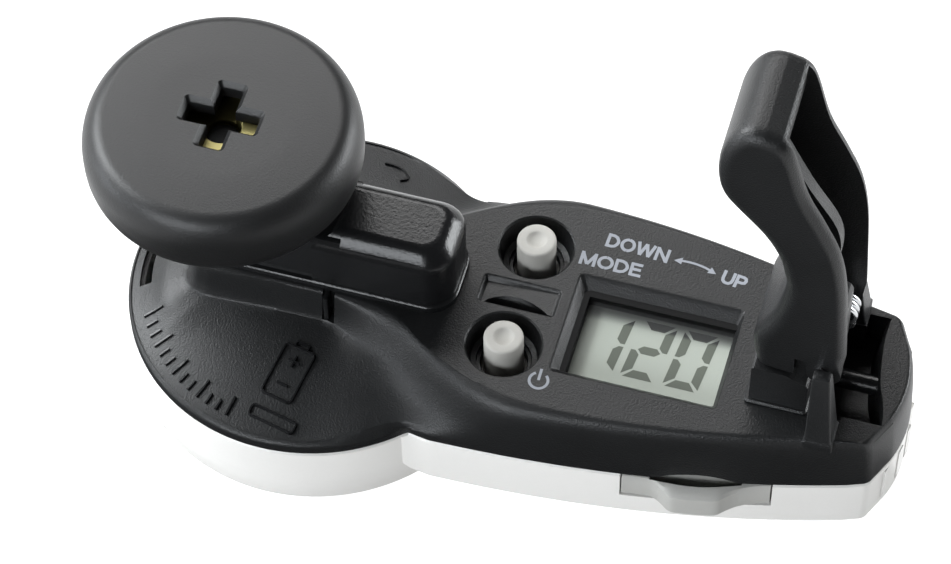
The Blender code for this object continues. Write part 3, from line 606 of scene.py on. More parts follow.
def recess_cutter():
    """Lanyard recess behind the hinge; its curved right-hand side leans outwards."""
    notch = [(64.3, 8.4), (64.3, 6.6), (62.0, 6.6), (62.0, -6.6), (64.3, -6.6)]
    rings = []
    for z, grow in ((11.0, -0.5), (12.0, -0.15), (13.5, 0.0), (15.2, 0.25), (15.7, 0.35),
                    (16.0, 0.6), (16.4, 1.1)):
        near = -5.75 - grow / 2
        curve = refine([(68.3, near), (68.1, -4.6), (67.7, -2.9), (67.0, -0.9), (66.6, 1.0),
                        (66.3, 3.2), (66.1, 5.6), (66.2, 8.4)], 5)
        outline = [(64.3, near)] + [(x + grow, y) for x, y in curve] + notch
        rings.append(at_height(outline, z))
    return rings_solid("recess", rings)


def rounded(x0, y0, x1, y1, radius, count=5):
    """Anticlockwise rectangle with rounded corners."""
    r = radius
    return (corner((x1 - r, y0 + r), r, -90, 0, count) + corner((x1 - r, y1 - r), r, 0, 90, count)
            + corner((x0 + r, y1 - r), r, 90, 180, count)
            + corner((x0 + r, y0 + r), r, 180, 270, count))


def window_cutter():
    """Opening whose four walls slope in towards the panel, with a soft upper edge."""
    levels = [(13.9, 0.0, 0.25), (14.25, 0.0, 0.25), (15.6, 0.80, 0.4), (15.85, 0.97, 0.5),
              (16.0, 1.12, 0.6), (16.4, 1.5, 0.8)]
    rings = []
    for z, t, radius in levels:
        edges = [mix(low, top, t) for low, top in zip(WINDOW_LOW, WINDOW_TOP)]
        rings.append(at_height(rounded(*edges, radius), z))
    return rings_solid("window_cutter", rings)


def pocket_cutter():
    """Shallow rectangular rest between the buttons; its floor dips to the left."""
    outline = rounded(20.45, -1.75, 29.3, 1.7, 0.25)
    rings = []
    for z, grow in ((None, -0.25), (15.75, 0.02), (15.92, 0.14), (16.0, 0.34), (16.4, 0.9)):
        ring = []
        for x, y in inset(outline, -grow):
            ring.append((x, y, 15.2 + 0.05 * (x - 20.4) if z is None else z))
        rings.append(ring)
    return rings_solid("pocket_cutter", rings)


def lens_cutter():
    """Deeper crescent along the pocket's near edge, with a sloping far side."""
    rings = []
    for z, rise, near in ((14.3, 0.55, -1.6), (15.2, 1.45, -1.66), (15.5, 1.7, -1.7),
                          (16.4, 1.8, -1.75)):
        arc = [(20.9 + 7.9 * i / 16, near + 0.05 + rise * math.sin(math.pi * (i / 16) ** 0.8) ** 0.8)
               for i in range(15, 0, -1)]
        rings.append(at_height([(20.9, near), (24.8, near), (28.8, near)] + arc, z))
    return rings_solid("lens_cutter", rings)


def slot_cutter():
    """Upright keyway in the plateau's near wall."""
    return prism("slot_cutter", rounded(2.9, -8.4, 4.4, -5.1, 0.2), 11.6, 17.0)


def rim_slot_cutter():
    """Curved slot beside the rim, left of the plateau."""
    outer = [(20.9 * math.cos(a), 20.9 * math.sin(a)) for a in spread(math.radians(178),
                                                                      math.radians(199), 9)]
    inner = [(x * 19.4 / 20.9, y * 19.4 / 20.9) for x, y in reversed(outer)]
    return prism("rim_slot_cutter", outer + inner, 7.4, 12.0)


cover = dress(upper_cover(), "cover_black")
keep_weighted(cover)
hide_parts("upper_cover")


# ---------- hinge posts
def hinge_post(name, side):
    """Buttress that carries one end of the hinge pin, with softly rounded edges."""
    rings = []
    for z, grow in ((15.0, 0.16), (16.0, 0.16), (16.25, 0.05), (16.5, 0.0), (25.5, 0.0),
                    (25.85, -0.08), (26.0, -0.3)):
        t = clamp((z - TOP_Z) / 10.0)
        edges = (mix(60.9, 60.7, t) - grow, 6.9 - min(grow, 0.15), mix(64.0, 62.8, t) + grow,
                 mix(10.4, 8.4, t) + grow)
        ring = [(x, side * y, z) for x, y in rounded(*edges, 0.25)]
        rings.append(ring if side > 0 else ring[::-1])
    post = rings_solid(name, rings)
    cut(post, rod_y("pin_hole", PIVOT_X, PIVOT_Z, PIN_R + 0.15, -8.02, 8.02))
    return post


for post_name, post_side in (("hinge_post_far", 1), ("hinge_post_near", -1)):
    hinge = dress(hinge_post(post_name, post_side), "cover_black")
    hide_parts("upper_cover")


# ---------- white lower shell
def lower_shell():
    """White tray with its drawer opening, end ribs, rails and screw holes."""
    rim, belly = full_outline(rim_half()), full_outline(rim_half(BELLY))
    edge = full_outline(rim_half(BELLY - 0.5))
    wall = inset(rim, WALL)
    tops = [TOP_Z - cover_height(x) - GAP for x, _ in rim]
    soft = 0.25
    rings = [at_height(inset(belly, 0.6), -BASE_DROP),
             at_height(inset(belly, 0.2), 0.15 - BASE_DROP),
             at_height(edge, 0.6 - BASE_DROP),
             at_height(inset(rim, soft), 0.0),
             at_height(rim, soft),
             [(x, y, z - soft) for (x, y), z in zip(rim, tops)],
             [(x, y, z) for (x, y), z in zip(inset(rim, soft), tops)],
             [(x, y, z) for (x, y), z in zip(wall, tops)],
             at_height(wall, 0.0),
             at_height(inset(edge, WALL), FLOOR - BASE_DROP)]
    shell = rings_solid("shell_tray", rings)
    parts, holes = [], []
    for i in range(5):
        y = -6.0 + 3.0 * i
        x = END_X - END_BULGE * y * y
        parts.append(prism("rib", [(x - 1.0, y - 0.2), (x + 0.1, y - 0.2), (x + 0.3, y + 0.9),
                                   (x - 1.0, y + 0.9)], 1.2, 6.8))
    under = FLOOR - BASE_DROP - 0.5
    for x, y, top in ((-12.0, 13.0, 5.0), (-12.0, -13.0, 5.0), (62.2, 6.6, 6.0), (62.2, -6.6, 6.0)):
        parts.append(turned("boss", x, y, [(2.3, under), (2.3, top)], 24))
        holes.append(turned("screw_hole", x, y, [(2.3, -BASE_DROP - 1), (2.2, 0.5 - BASE_DROP),
                                                 (2.2, -0.4), (1.25, -0.4), (1.25, 7.0)], 32))
    parts.append(turned("arbor_boss", ENCODER_X, 0, [(2.4, under), (2.4, 3.2)], 24))
    holes.append(turned("arbor_hole", ENCODER_X, 0, [(1.7, 1.9), (1.7, 5.0)], 24))
    for x in (DRAWER_X0 - 1.6, DRAWER_X1 + 0.4):
        parts.append(box("rail", (x, -9.4, under), (x + 1.2, 4.6, 6.6)))
    parts.append(box("shelf", (DRAWER_X0 - 1.0, -9.2, 0.5), (DRAWER_X1 + 1.0, 4.4, 1.5)))
    add(shell, *parts)
    cut(shell, *holes, box("slot", (DRAWER_X0 - 0.2, -20.0, DRAWER_Z0 - 0.3),
                           (DRAWER_X1 + 0.2, -6.0, 9.0)))
    return shell


shell = dress(lower_shell(), "shell_white")
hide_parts("lower_shell")


def nail_slot():
    """Deep crescent between the finger tab and the cover's edge."""
    x0, x1 = 44.4, 54.8
    arc = [(mix(x0, x1, i / 24), -half_width(mix(x0, x1, i / 24)) - 0.6 * math.sin(math.pi * i / 24))
           for i in range(25)]
    back = [(x, -half_width(x) + 1.0) for x in (x1, x0)]
    return prism("nail_slot", arc + back, DRAWER_Z0 + 1.0, DRAWER_Z1 + 1)


def battery_drawer():
    """Grey tray whose front follows the shell and bulges into a finger tab."""
    bulge = refine([(DRAWER_X0, 0.04), (43.2, 0.04), (44.8, 0.25), (46.0, 1.0), (47.2, 1.95),
                    (48.6, 2.15), (50.6, 2.2), (52.4, 2.1), (53.3, 1.5), (54.4, 0.8), (55.8, 0.3),
                    (57.0, 0.08), (DRAWER_X1, 0.04)], 4)
    rings = []
    for z, back in ((DRAWER_Z0, 0.35), (DRAWER_Z0 + 0.12, 0.12), (DRAWER_Z0 + 0.4, 0.0),
                    (DRAWER_Z1 - 0.5, 0.0), (DRAWER_Z1 - 0.15, 0.15), (DRAWER_Z1, 0.5)):
        front = [(x, -half_width(x) - out + back * (1 + 1.2 * out)) for x, out in bulge]
        rings.append(at_height(front + [(DRAWER_X1, 3.4), (DRAWER_X0, 3.4)], z))
    tray = rings_solid("drawer_tray", rings)
    centre = (DRAWER_X0 + DRAWER_X1) / 2
    cut(tray, turned("cell_seat", centre, -1.0, [(6.3, DRAWER_Z0 + 1.0), (6.3, DRAWER_Z1 + 1)], 64),
        turned("contact_window", centre, -1.0, [(3.0, 3), (3.0, 6)], 40),
        nail_slot())
    return tray


drawer = dress(battery_drawer(), "drawer_grey", body="drawer")
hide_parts("battery_drawer")


# ---------- gear housing
def block_profile(x0, x1, half, radius, count=9):
    """Plan of the block: square at its left end, rounded at its right corners."""
    near = corner((x1 - radius, -half + radius), radius, -90, 0, count)
    far = corner((x1 - radius, half - radius), radius, 0, 90, count)
    return [(x0, -half)] + near + far + [(x0, half)]


def gear_housing():
    """Glossy block with a soft-edged top, a foot flange and the throat under the wheel."""
    levels = [(-0.28, 16.0), (-0.28, 16.75), (-0.16, 16.9), (0.0, 16.98)]
    levels += [(d, BLOCK_TOP - drop) for d, drop in
               refine([(0.0, 2.6), (0.1, 2.0), (0.42, 1.4), (1.1, 0.62), (1.5, 0.3), (1.95, 0.08),
                       (2.4, 0.0)], 3)]
    rings = [at_height(block_profile(BLOCK_X0, BLOCK_X1 - d, BLOCK_HALF - d, 3.2 - d * 0.6), z)
             for d, z in levels]
    housing = rings_solid("housing_block", rings)
    cove = turned("cove", WHEEL_X, 0, [(11.9, 22.2), (12.6, 23.6), (13.7, 25.0), (14.35, 25.75),
                                       (14.6, 27.0)], 128)
    cut(housing, cove)
    throat_rings = []
    for z, d in ((15.9, -0.58), (16.75, -0.58), (16.9, -0.46), (17.0, 0.0), (24.2, 0.0),
                 (24.75, 0.2), (25.0, 0.7)):
        half = 4.7 - d
        throat_rings.append(at_height([(WHEEL_X, -half), (5.0, -half), (5.0, half),
                                       (WHEEL_X, half)], z))
    parts = [rings_solid("throat", throat_rings),
             turned("tower", WHEEL_X, 0, [(5.3, 15.9), (5.0, 16.4), (5.0, 28.1), (4.6, 28.5)], 64)]
    roof = 23.1
    holes = [box("hollow", (WHEEL_X, -3.8, 15.0), (ENCODER_X, 3.8, roof)),
             turned("hollow", ENCODER_X, 0, [(3.95, 15.0), (3.95, roof)], 40),
             turned("hollow", WHEEL_X, 0, [(4.4, 15.0), (4.4, roof)], 40),
             turned("bearing_seat", WHEEL_X, 0, [(1.9, roof - 1), (1.9, 25.6), (3.05, 25.6),
                                                 (3.05, 30.0)], 48)]
    add(housing, *parts)
    cut(housing, *holes)
    return housing


housing = dress(gear_housing(), "block_black")
keep_weighted(housing)
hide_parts("gear_housing")


# ---------- wheel
def cross(half, arm, radius):
    """Plus-shaped outline with rounded outer corners."""
    points = []
    for side in range(4):
        quarter = corner((half - radius, -arm + radius), radius, -90, 0, 4)
        quarter += corner((half - radius, arm - radius), radius, 0, 90, 4) + [(arm, arm)]
        points += [(WHEEL_X + x, y) for x, y in turn(quarter, 90 * side)]
    return points


def measuring_wheel():
    """Disc with a deep rounded rim and a chamfered cross-shaped socket."""
    edge = []
    for step in range(0, 9):
        a = math.radians(90 - 11.25 * step)
        edge.append((WHEEL_R - 2.1 * (1 - math.cos(a)), WHEEL_Z0 + 3.3 * (1 - math.sin(a))))
    deep, wide = 4.4, 2.8
    for step in range(0, 19):
        a = math.radians(5 * step)
        edge.append((WHEEL_R - wide * (1 - math.cos(a)),
                     WHEEL_Z1 - CROWN - (deep - CROWN) * (1 - math.sin(a))))
    flat = WHEEL_R - wide
    edge += [(flat * t, WHEEL_Z1 - CROWN * t ** 3) for t in (0.92, 0.84, 0.76, 0.68, 0.6)]
    wheel = turned("wheel_disc", WHEEL_X, 0, edge, 160)
    floor = WHEEL_Z1 - SOCKET_DEPTH
    seat = [(5.8, WHEEL_Z0 - 1), (5.8, floor + 0.1)]
    socket = [at_height(cross(SOCKET_HALF + g, SOCKET_ARM + g, 0.28 + g / 2), z)
              for z, g in ((floor - 0.6, -0.05), (WHEEL_Z1 - 0.85, 0.0), (WHEEL_Z1 - 0.6, 0.1),
                           (WHEEL_Z1, SOCKET_CHAMFER), (WHEEL_Z1 + 0.5, SOCKET_CHAMFER + 0.5))]
    cut(wheel, turned("seat", WHEEL_X, 0, seat, 64), rings_solid("socket", socket))
    return wheel


wheel = dress(measuring_wheel(), "wheel_rubber", body="wheel")
keep_weighted(wheel)
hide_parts("measuring_wheel")


def wheel_bush():
    """Brass bush at the bottom of the socket; its far left half lies deeper."""
    top = WHEEL_Z1 - SOCKET_DEPTH
    bush = turned("bush_brass", WHEEL_X, 0, [(5.3, WHEEL_Z0 + 0.3), (5.45, WHEEL_Z0 + 0.45),
                                             (5.45, top - 0.15), (5.3, top)], 96)
    step = [(WHEEL_X - 7.0, -6.0), (WHEEL_X + 0.6, 1.6), (WHEEL_X + 7.0, 8.0), (WHEEL_X - 7.0, 8.0)]
    cut(bush, prism("step", step, top - 1.7, top + 1.0),
        turned("bore", WHEEL_X, 0, [(1.15, WHEEL_Z0 - 1), (1.15, 33.2), (2.2, 33.2),
                                    (2.2, top - 0.15), (2.4, top + 0.05)], 64))
    return bush


SCREW_HEAD = [(1.0, 33.3), (1.9, 33.4), (1.9, 33.7), (1.6, 33.9), (0.9, 34.0)]
# The screw head carries the painted-shade black, so the socket's centre looks shaded
screw = dress(turned("socket_screw", WHEEL_X, 0, SCREW_HEAD, 48), "dark_steel", SHADE_BLACK,
              body="wheel")
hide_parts("wheel_screw")
bush = dress(wheel_bush(), "brass", body="wheel")
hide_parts("wheel_bush")


# ---------- buttons
def button(name, side):
    """Push button with a rounded edge and a shallow thumb dimple."""
    radius = BUTTON_R - 0.04
    profile = [(3.2, 10.65), (3.2, 11.1), (radius, 11.1), (radius, BUTTON_TOP - 0.35)]
    for degrees in (20, 40, 60, 80):
        a = math.radians(degrees)
        profile.append((radius - 0.35 * (1 - math.cos(a)), BUTTON_TOP - 0.35 * (1 - math.sin(a))))
    profile += [(1.35, BUTTON_TOP), (1.18, BUTTON_TOP - 0.03), (1.08, BUTTON_TOP - 0.1),
                (0.9, BUTTON_TOP - 0.26), (0.6, BUTTON_TOP - 0.38), (0.3, BUTTON_TOP - 0.43),
                (0.05, BUTTON_TOP - 0.44)]
    return turned(name, BUTTON_X, side * BUTTON_Y, profile, 72)


for cap_name, cap_body, cap_side in (("mode_cap", "mode_button", 1),
                                     ("power_cap", "power_button", -1)):
    cap = dress(button(cap_name, cap_side), "button_grey", body=cap_body)
    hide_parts(cap_body)


# ---------- display
def soft_plate(name, x0, y0, x1, y1, z0, z1, radius, edge):
    """Plate with rounded corners and a small chamfer round its top."""
    rings = [at_height(inset(rounded(x0, y0, x1, y1, radius), d), z)
             for z, d in ((z0, 0.0), (z1 - edge, 0.0), (z1, edge))]
    return rings_solid(name, rings)


panel = dress(soft_plate("display_glass", *PANEL_PLAN, 11.9, PANEL_TOP, 0.3, 0.05), "lcd_glass")
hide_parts("lcd_panel")

SEGMENTS = {"1": "bc", "2": "abged", "0": "abcdef"}
DIGIT_MIDDLE, DIGIT_HALF_H, DIGIT_HALF_W = -1.7, 4.0, 2.05
SEGMENT_W, SEGMENT_GAP, DIGIT_SLANT = 1.08, 0.19, 0.105


def segment_points(letter):
    """Outline of one segment, mitred towards its neighbours, in the digit's upright plan."""
    w, h, t, g = DIGIT_HALF_W, DIGIT_HALF_H, SEGMENT_W, SEGMENT_GAP
    nip = 0.12
    bar = [(-w + nip + g, h), (-w + t + g, h - t), (w - t - g, h - t), (w - nip - g, h)]
    post = [(w, g), (w, h - nip - g), (w - t, h - t - g), (w - t, t / 2 + g), (w - t / 2, g)]
    middle = [(-w + t / 2 + g, 0), (-w + t + g, -t / 2), (w - t - g, -t / 2), (w - t / 2 - g, 0),
              (w - t - g, t / 2), (-w + t + g, t / 2)]
    flips = {"a": (bar, 1, 1), "d": (bar, 1, -1), "g": (middle, 1, 1), "b": (post, 1, 1),
             "c": (post, 1, -1), "f": (post, -1, 1), "e": (post, -1, -1)}
    shape, flip_x, flip_y = flips[letter]
    points = [(x * flip_x, y * flip_y) for x, y in shape]
    area = sum(a[0] * b[1] - b[0] * a[1] for a, b in zip(points, points[1:] + points[:1]))
    return points if area > 0 else points[::-1]


def display_digits():
    """The reading, as thin raised segments on the panel."""
    points, faces = [], []
    for digit, x_mid in (("1", 35.8), ("2", 40.8), ("0", 45.8)):
        for letter in SEGMENTS[digit]:
            start = len(points)
            outline = [(x_mid + x + DIGIT_SLANT * y, DIGIT_MIDDLE + y)
                       for x, y in segment_points(letter)]
            count = len(outline)
            points += [(x, y, z) for z in (PANEL_TOP - 0.01, PANEL_TOP + 0.02)
                       for x, y in outline]
            faces.append(tuple(start + i for i in reversed(range(count))))
            faces.append(tuple(start + count + i for i in range(count)))
            faces += [(start + i, start + (i + 1) % count, start + count + (i + 1) % count,
                       start + count + i) for i in range(count)]
    return solid("display_digits", points, faces)


dress(display_digits(), "lcd_glass", SEGMENT, angle=20)

pane = dress(soft_plate("display_pane", *PANEL_PLAN, 13.5, 14.25, 0.3, 0.05), "window_clear")
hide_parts("display_window")


def display_shade_lip():
    """Dark lip between the display and the window's far and left walls, in the painted-shade black:
    it stands in for the shade on the lower part of those walls.
    """
    x0, y0, x1, y1 = WINDOW_LOW
    lip = rings_solid("display_shade_lip", [
        at_height(inset(rounded(x0, y0, x1, y1, 0.2), -out), z)
        for z, out in ((13.4, 0.8), (14.9, 0.8), (14.95, 0.75))])
    cut(lip, rings_solid("opening", [
        at_height(rounded(x0 + lap, y0 - 2.0, x1 + 2.0, y1 - lap, 0.1), z)
        for z, lap in ((13.0, 0.1), (14.8, 0.1), (15.2, 0.0))]))
    return lip


# Painted shade under the window's far and left walls
dress(display_shade_lip(), "cover_black", SHADE_BLACK)


# ---------- printed labels
LETTERS = {
    "M": (1.12, [[(0.1, 0), (0.1, 1)], [(0.1, 0.93), (0.56, 0.1)], [(1.02, 0.93), (0.56, 0.1)],
                 [(1.02, 0), (1.02, 1)]]),
    "O": (1.12, [[(0.56 + 0.46 * math.sin(a), 0.5 + 0.40 * math.cos(a))
                  for a in spread(turn, turn + math.pi + 0.2, 14)] for turn in (0, math.pi)]),
    "D": (0.98, [[(0.1, 0), (0.1, 1)],
                 [(0.1, 0.9), (0.45, 0.9), (0.68, 0.83), (0.83, 0.66), (0.88, 0.5), (0.83, 0.34),
                  (0.68, 0.17), (0.45, 0.1), (0.1, 0.1)]]),
    "E": (0.86, [[(0.1, 0), (0.1, 1)], [(0.1, 0.9), (0.82, 0.9)], [(0.1, 0.52), (0.76, 0.52)],
                 [(0.1, 0.1), (0.84, 0.1)]]),
    "W": (1.42, [[(0.08, 1), (0.38, 0.06)], [(0.71, 0.96), (0.38, 0.06)],
                 [(0.71, 0.96), (1.04, 0.06)], [(1.34, 1), (1.04, 0.06)]]),
    "N": (1.06, [[(0.1, 0), (0.1, 1)], [(0.1, 0.94), (0.92, 0.06)], [(0.92, 0), (0.92, 1)]]),
    "U": (1.02, [[(0.1, 1), (0.1, 0.4), (0.16, 0.22), (0.32, 0.11), (0.5, 0.09), (0.68, 0.11),
                  (0.84, 0.22), (0.9, 0.4), (0.9, 1)]]),
    "P": (0.94, [[(0.1, 0), (0.1, 1)],
                 [(0.1, 0.9), (0.55, 0.9), (0.75, 0.84), (0.82, 0.68), (0.75, 0.51), (0.55, 0.45),
                  (0.1, 0.45)]]),
}


def printed(name, text, x0, y0, x1, y1, height, weight):
    """Flat bold print on the cover's top, fitted between two points of its baseline."""
    gap = 0.1
    wide = sum(LETTERS[letter][0] + gap for letter in text) - gap
    length = math.hypot(x1 - x0, y1 - y0)
    ux, uy = (x1 - x0) / length, (y1 - y0) / length
    chains, along = [], 0.0
    for letter in text:
        for stroke in LETTERS[letter][1]:
            placed = [((along + sx) / wide * length, sy * height) for sx, sy in stroke]
            chains.append([(x0 + ux * a - uy * b, y0 + uy * a + ux * b) for a, b in placed])
        along += LETTERS[letter][0] + gap
    return print_strokes(name, chains, weight)


def print_strokes(name, chains, width, shapes=()):
    """Lines of even width and filled shapes, joined into one thin plate."""
    plates = []
    for chain in chains:
        flat, polygons = print_path(chain, width)
        plates.append(raise_flat(name, flat, polygons, len(flat)))
    for shape in shapes:
        plates.append(raise_flat(name, shape, [tuple(range(len(shape)))], len(shape)))
    add(plates[0], *plates[1:])
    return plates[0]


def raise_flat(name, flat, polygons, count, z0=TOP_Z - 0.02, z1=TOP_Z + 0.015):
    """Turn a flat patch of faces into a thin closed plate."""
    points = at_height(flat, z0) + at_height(flat, z1)
    faces, used = [], {}
    for polygon in polygons:
        area = sum(flat[a][0] * flat[b][1] - flat[b][0] * flat[a][1]
                   for a, b in zip(polygon, polygon[1:] + polygon[:1]))
        polygon = polygon if area > 0 else polygon[::-1]
        faces.append(tuple(i + count for i in polygon))
        faces.append(tuple(reversed(polygon)))
        for a, b in zip(polygon, polygon[1:] + polygon[:1]):
            used[(a, b)] = True
    faces += [(a, b, b + count, a + count) for a, b in used if (b, a) not in used]
    return solid(name, points, faces)


def print_path(chain, width):
    """Flat ribbon of even width along a chain of plan points, with mitred corners."""
    normals = []
    for (ax, ay), (bx, by) in zip(chain, chain[1:]):
        size = math.hypot(bx - ax, by - ay)
        normals.append((-(by - ay) / size, (bx - ax) / size))
    flat = []
    for i, (x, y) in enumerate(chain):
        beside = normals[max(i - 1, 0):i + 1]
        nx, ny = (sum(n[k] for n in beside) / len(beside) for k in (0, 1))
        reach = width / 2 / max(nx * nx + ny * ny, 0.4)
        flat += [(x - nx * reach, y - ny * reach), (x + nx * reach, y + ny * reach)]
    polygons = [(2 * i, 2 * i + 2, 2 * i + 3, 2 * i + 1) for i in range(len(chain) - 1)]
    return flat, polygons


LABELS = []
for label in (("label_mode", "MODE", 30.22, 6.1, 37.62, 6.08, 1.87, 0.38),
              ("label_down", "DOWN", 32.52, 9.3, 40.08, 8.87, 1.92, 0.38),
              ("label_up", "UP", 46.6, 7.98, 49.55, 7.62, 1.85, 0.38)):
    LABELS.append(printed(*label))

shaft = refine([(41.5, 9.68), (42.4, 9.73), (43.4, 9.68), (44.4, 9.5), (45.2, 9.24)], 6)
HEADS = [[(40.78, 9.56), (41.72, 10.16), (41.7, 9.2)], [(45.92, 8.94), (45.25, 9.74), (44.9, 8.83)]]
LABELS.append(print_strokes("label_arrow", [shaft], 0.28, HEADS))

ring = corner((30.15, -10.65), 1.07, 122, 410, 33)
LABELS.append(print_strokes("label_power", [ring, [(30.08, -9.05), (30.12, -10.6)]], 0.32))

for label in LABELS:
    dress(label, "button_grey", PRINT, angle=20)


# ---------- raised marks on the deck
def surface_tree(item):
    graph = bpy.context.evaluated_depsgraph_get()
    return BVHTree.FromObject(item.evaluated_get(graph), graph)


def raised_lines(name, chains, width, height, tree):
    """Ridges that follow the cover's skin along chains of plan points."""
    points, faces = [], []

    def skin(x, y):
        hit, _, _, _ = tree.ray_cast(Vector(place((x, y, 40.0))), Vector((0, 0, -1)))
        return hit.z / MM - BASE_DROP

    for chain in chains:
        start = len(points)
        rails = [(offset_curve(chain, width * side), rise) for side, rise in
                 ((-0.5, -0.1), (-0.2, height), (0.2, height), (0.5, -0.1))]
        for i in range(len(chain)):
            for rail, rise in rails:
                x, y = rail[i]
                points.append((x, y, skin(x, y) + rise))
        last = start + 4 * (len(chain) - 1)
        for i in range(start, last, 4):
            faces += [(i + k, i + 4 + k, i + 4 + (k + 1) % 4, i + (k + 1) % 4) for k in range(4)]
        faces += [tuple(range(start, start + 4)), tuple(reversed(range(last, last + 4)))]
    return solid(name, points, faces)


def line(ax, ay, bx, by, count=5):
    return [(mix(ax, bx, i / count), mix(ay, by, i / count)) for i in range(count + 1)]


def tick_row():
    """Row of plain strokes of two lengths along the rim."""
    chains = []
    for i in range(13):
        angle = 209.0 + 4.0 * i
        chains.append(line(*polar(angle, 18.3 if i % 3 == 0 else 19.3), *polar(angle, 20.6)))
    return chains


def battery_mark():
    """Battery outline with its plus and minus, and a plain bar below it."""
    body = rounded(-1.9, -3.3, 1.9, 3.0, 0.4, 3)
    cap = [(-0.8, 3.0), (-0.8, 3.7), (0.8, 3.7), (0.8, 3.0)]
    bar = rounded(-2.0, -6.3, 3.7, -5.0, 0.3, 3)
    strokes = [body + body[:1], cap, line(-0.7, 1.3, 0.7, 1.3), line(0, 0.6, 0, 2.0),
               line(-0.7, -1.6, 0.7, -1.6), bar + bar[:1]]
    return [[(1.05 + x, -13.6 + y) for x, y in turn(stroke, -11)] for stroke in strokes]


skin_tree = surface_tree(cover)
arc_mark = refine([(2.7, 18.85), (4.0, 18.8), (5.1, 18.4), (5.9, 17.6), (6.05, 17.0),
                   (5.3, 16.4)], 5)
for mark_name, chains, width in (("rim_ticks", tick_row(), 0.5),
                                 ("battery_mark", battery_mark(), 0.42),
                                 ("arc_mark", [arc_mark], 0.42)):
    dress(raised_lines(mark_name, chains, width, 0.3, skin_tree), "cover_black",
          LOOKS["block_black"], angle=50)


def slot_key():
    """Small upright key standing in the plateau's slot."""
    key = box("slot_key", (3.15, -6.6, 11.4), (3.75, -5.0, 15.9))
    bevel(key, 0.12, 2)
    return key


dress(slot_key(), "cover_black", LOOKS["block_black"])


# ---------- folding arm
ARM_FRONT = [(53.8, 23.0), (53.3, 25.7), (53.5, 28.2), (55.2, 32.0), (55.9, 35.0), (56.3, 38.3),
             (55.9, 40.6), (55.2, 43.3), (53.3, 46.9), (49.8, 51.1), (48.5, 53.2), (48.0, 55.8),
             (48.1, 58.8), (48.8, 61.5), (49.9, 63.3), (51.3, 64.15), (52.8, 64.2)]
ARM_BACK = [(54.4, 63.75), (55.4, 62.8), (56.2, 60.6), (57.7, 55.2), (59.8, 50.8), (61.8, 46.1),
            (62.9, 40.5), (63.5, 32.2), (63.8, 27.0)]


def roll_in(points, radii, level):
    """Curve drawn inwards as the arm's edge rounds off towards its side."""
    out = []
    for full, (x, z), radius in zip(points, offset_curve(points, -1.0), radii):
        past = max(level - (ARM_HALF - radius), 0.0)
        draw = radius - math.sqrt(max(radius * radius - past * past, 0.0))
        out.append((mix(full[0], x, draw), mix(full[1], z, draw)))
    return out


def clip_arm():
    """S-shaped channel with softly rounded front edges, side walls and a middle rib."""
    front, back = refine(ARM_FRONT, 4), refine(ARM_BACK, 4)
    foot = corner((PIVOT_X, PIVOT_Z), LUG_R, 10, -150, 11)
    heel = [(59.6, 25.9), (58.3, 25.9), (58.3, 23.0)]
    front_r = [mix(1.9, 1.7, i / (len(front) - 1)) for i in range(len(front))]
    back_r = [mix(1.7, 1.2, min(i / 8, 1.0)) for i in range(len(back))]
    rings = []
    for side in (1, -1):
        steps = []
        for degrees in (90, 80, 70, 60, 50, 40, 30, 20, 10, 0):
            level = ARM_HALF - 2.6 * (1 - math.sin(math.radians(degrees)))
            outline = roll_in(front, front_r, level) + roll_in(back, back_r, level)
            steps.append([(x, side * level, z) for x, z in reversed(outline + foot + heel)])
        rings += steps if side > 0 else steps[::-1]
    arm = rings_solid("arm_channel", rings)
    skin = offset_curve(ARM_FRONT, -1.6)
    hollow = refine(skin[2:-2], 3) + [(51.6, 60.3), (54.7, 60.0), (55.0, 66.0), (70.0, 66.0),
                                      (70.0, 15.0), (59.2, 15.0), (59.2, 27.7)]
    rib_half = 0.8
    cuts = []
    for side in (-1, 1):
        y0, y1 = sorted((side * rib_half, side * (ARM_HALF - ARM_WALL)))
        cuts.append(side_prism("hollow", hollow[::-1], y0, y1))
    trim = refine([(52.4, 60.2), (54.0, 56.5), (57.2, 50.0), (60.6, 44.0), (61.2, 39.0),
                   (60.2, 34.0), (59.4, 31.0), (58.9, 15.0)], 5)
    trim += [(70.0, 15.0), (70.0, 66.0), (55.0, 66.0), (54.7, 60.0)]
    cuts.append(side_prism("rib_trim", trim, -rib_half - 0.5, rib_half + 0.5))
    cut(arm, *cuts)
    knuckle = [(58.0, 22.9), (59.9, 22.4), (62.6, 22.4), (62.95, 22.8), (62.95, 31.6),
               (62.6, 32.3), (61.6, 32.8), (58.0, 32.8)]
    add(arm, side_prism("knuckle", knuckle, -5.4, 0.8))
    cut(arm, rod_y("pin_hole", PIVOT_X, PIVOT_Z, PIN_R + 0.1, -8, 8))
    return arm


arm = dress(clip_arm(), "cover_black", body="arm")
keep_weighted(arm)
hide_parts("clip_arm")


def hinge_block():
    """Fixed block on the cover that the arm's toe rests against, with a foot flange."""
    outline = [(53.6, TOP_Z + 0.05), (60.2, TOP_Z + 0.05), (60.2, 21.1), (59.9, 21.45), (59.2, 21.6),
               (58.0, 22.35), (57.6, 22.55), (53.9, 22.7), (53.65, 22.5)]
    block = side_prism("hinge_foot", outline, -6.7, 6.7)
    flange = soft_plate("flange", 53.1, -7.2, 60.4, 7.2, TOP_Z - 0.05, TOP_Z + 0.55, 0.5, 0.2)
    add(block, flange)
    bevel(block, 0.18, 2, 50)
    return block


foot_block = dress(hinge_block(), "block_black", LOOKS["cover_black"])
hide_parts("hinge_block")


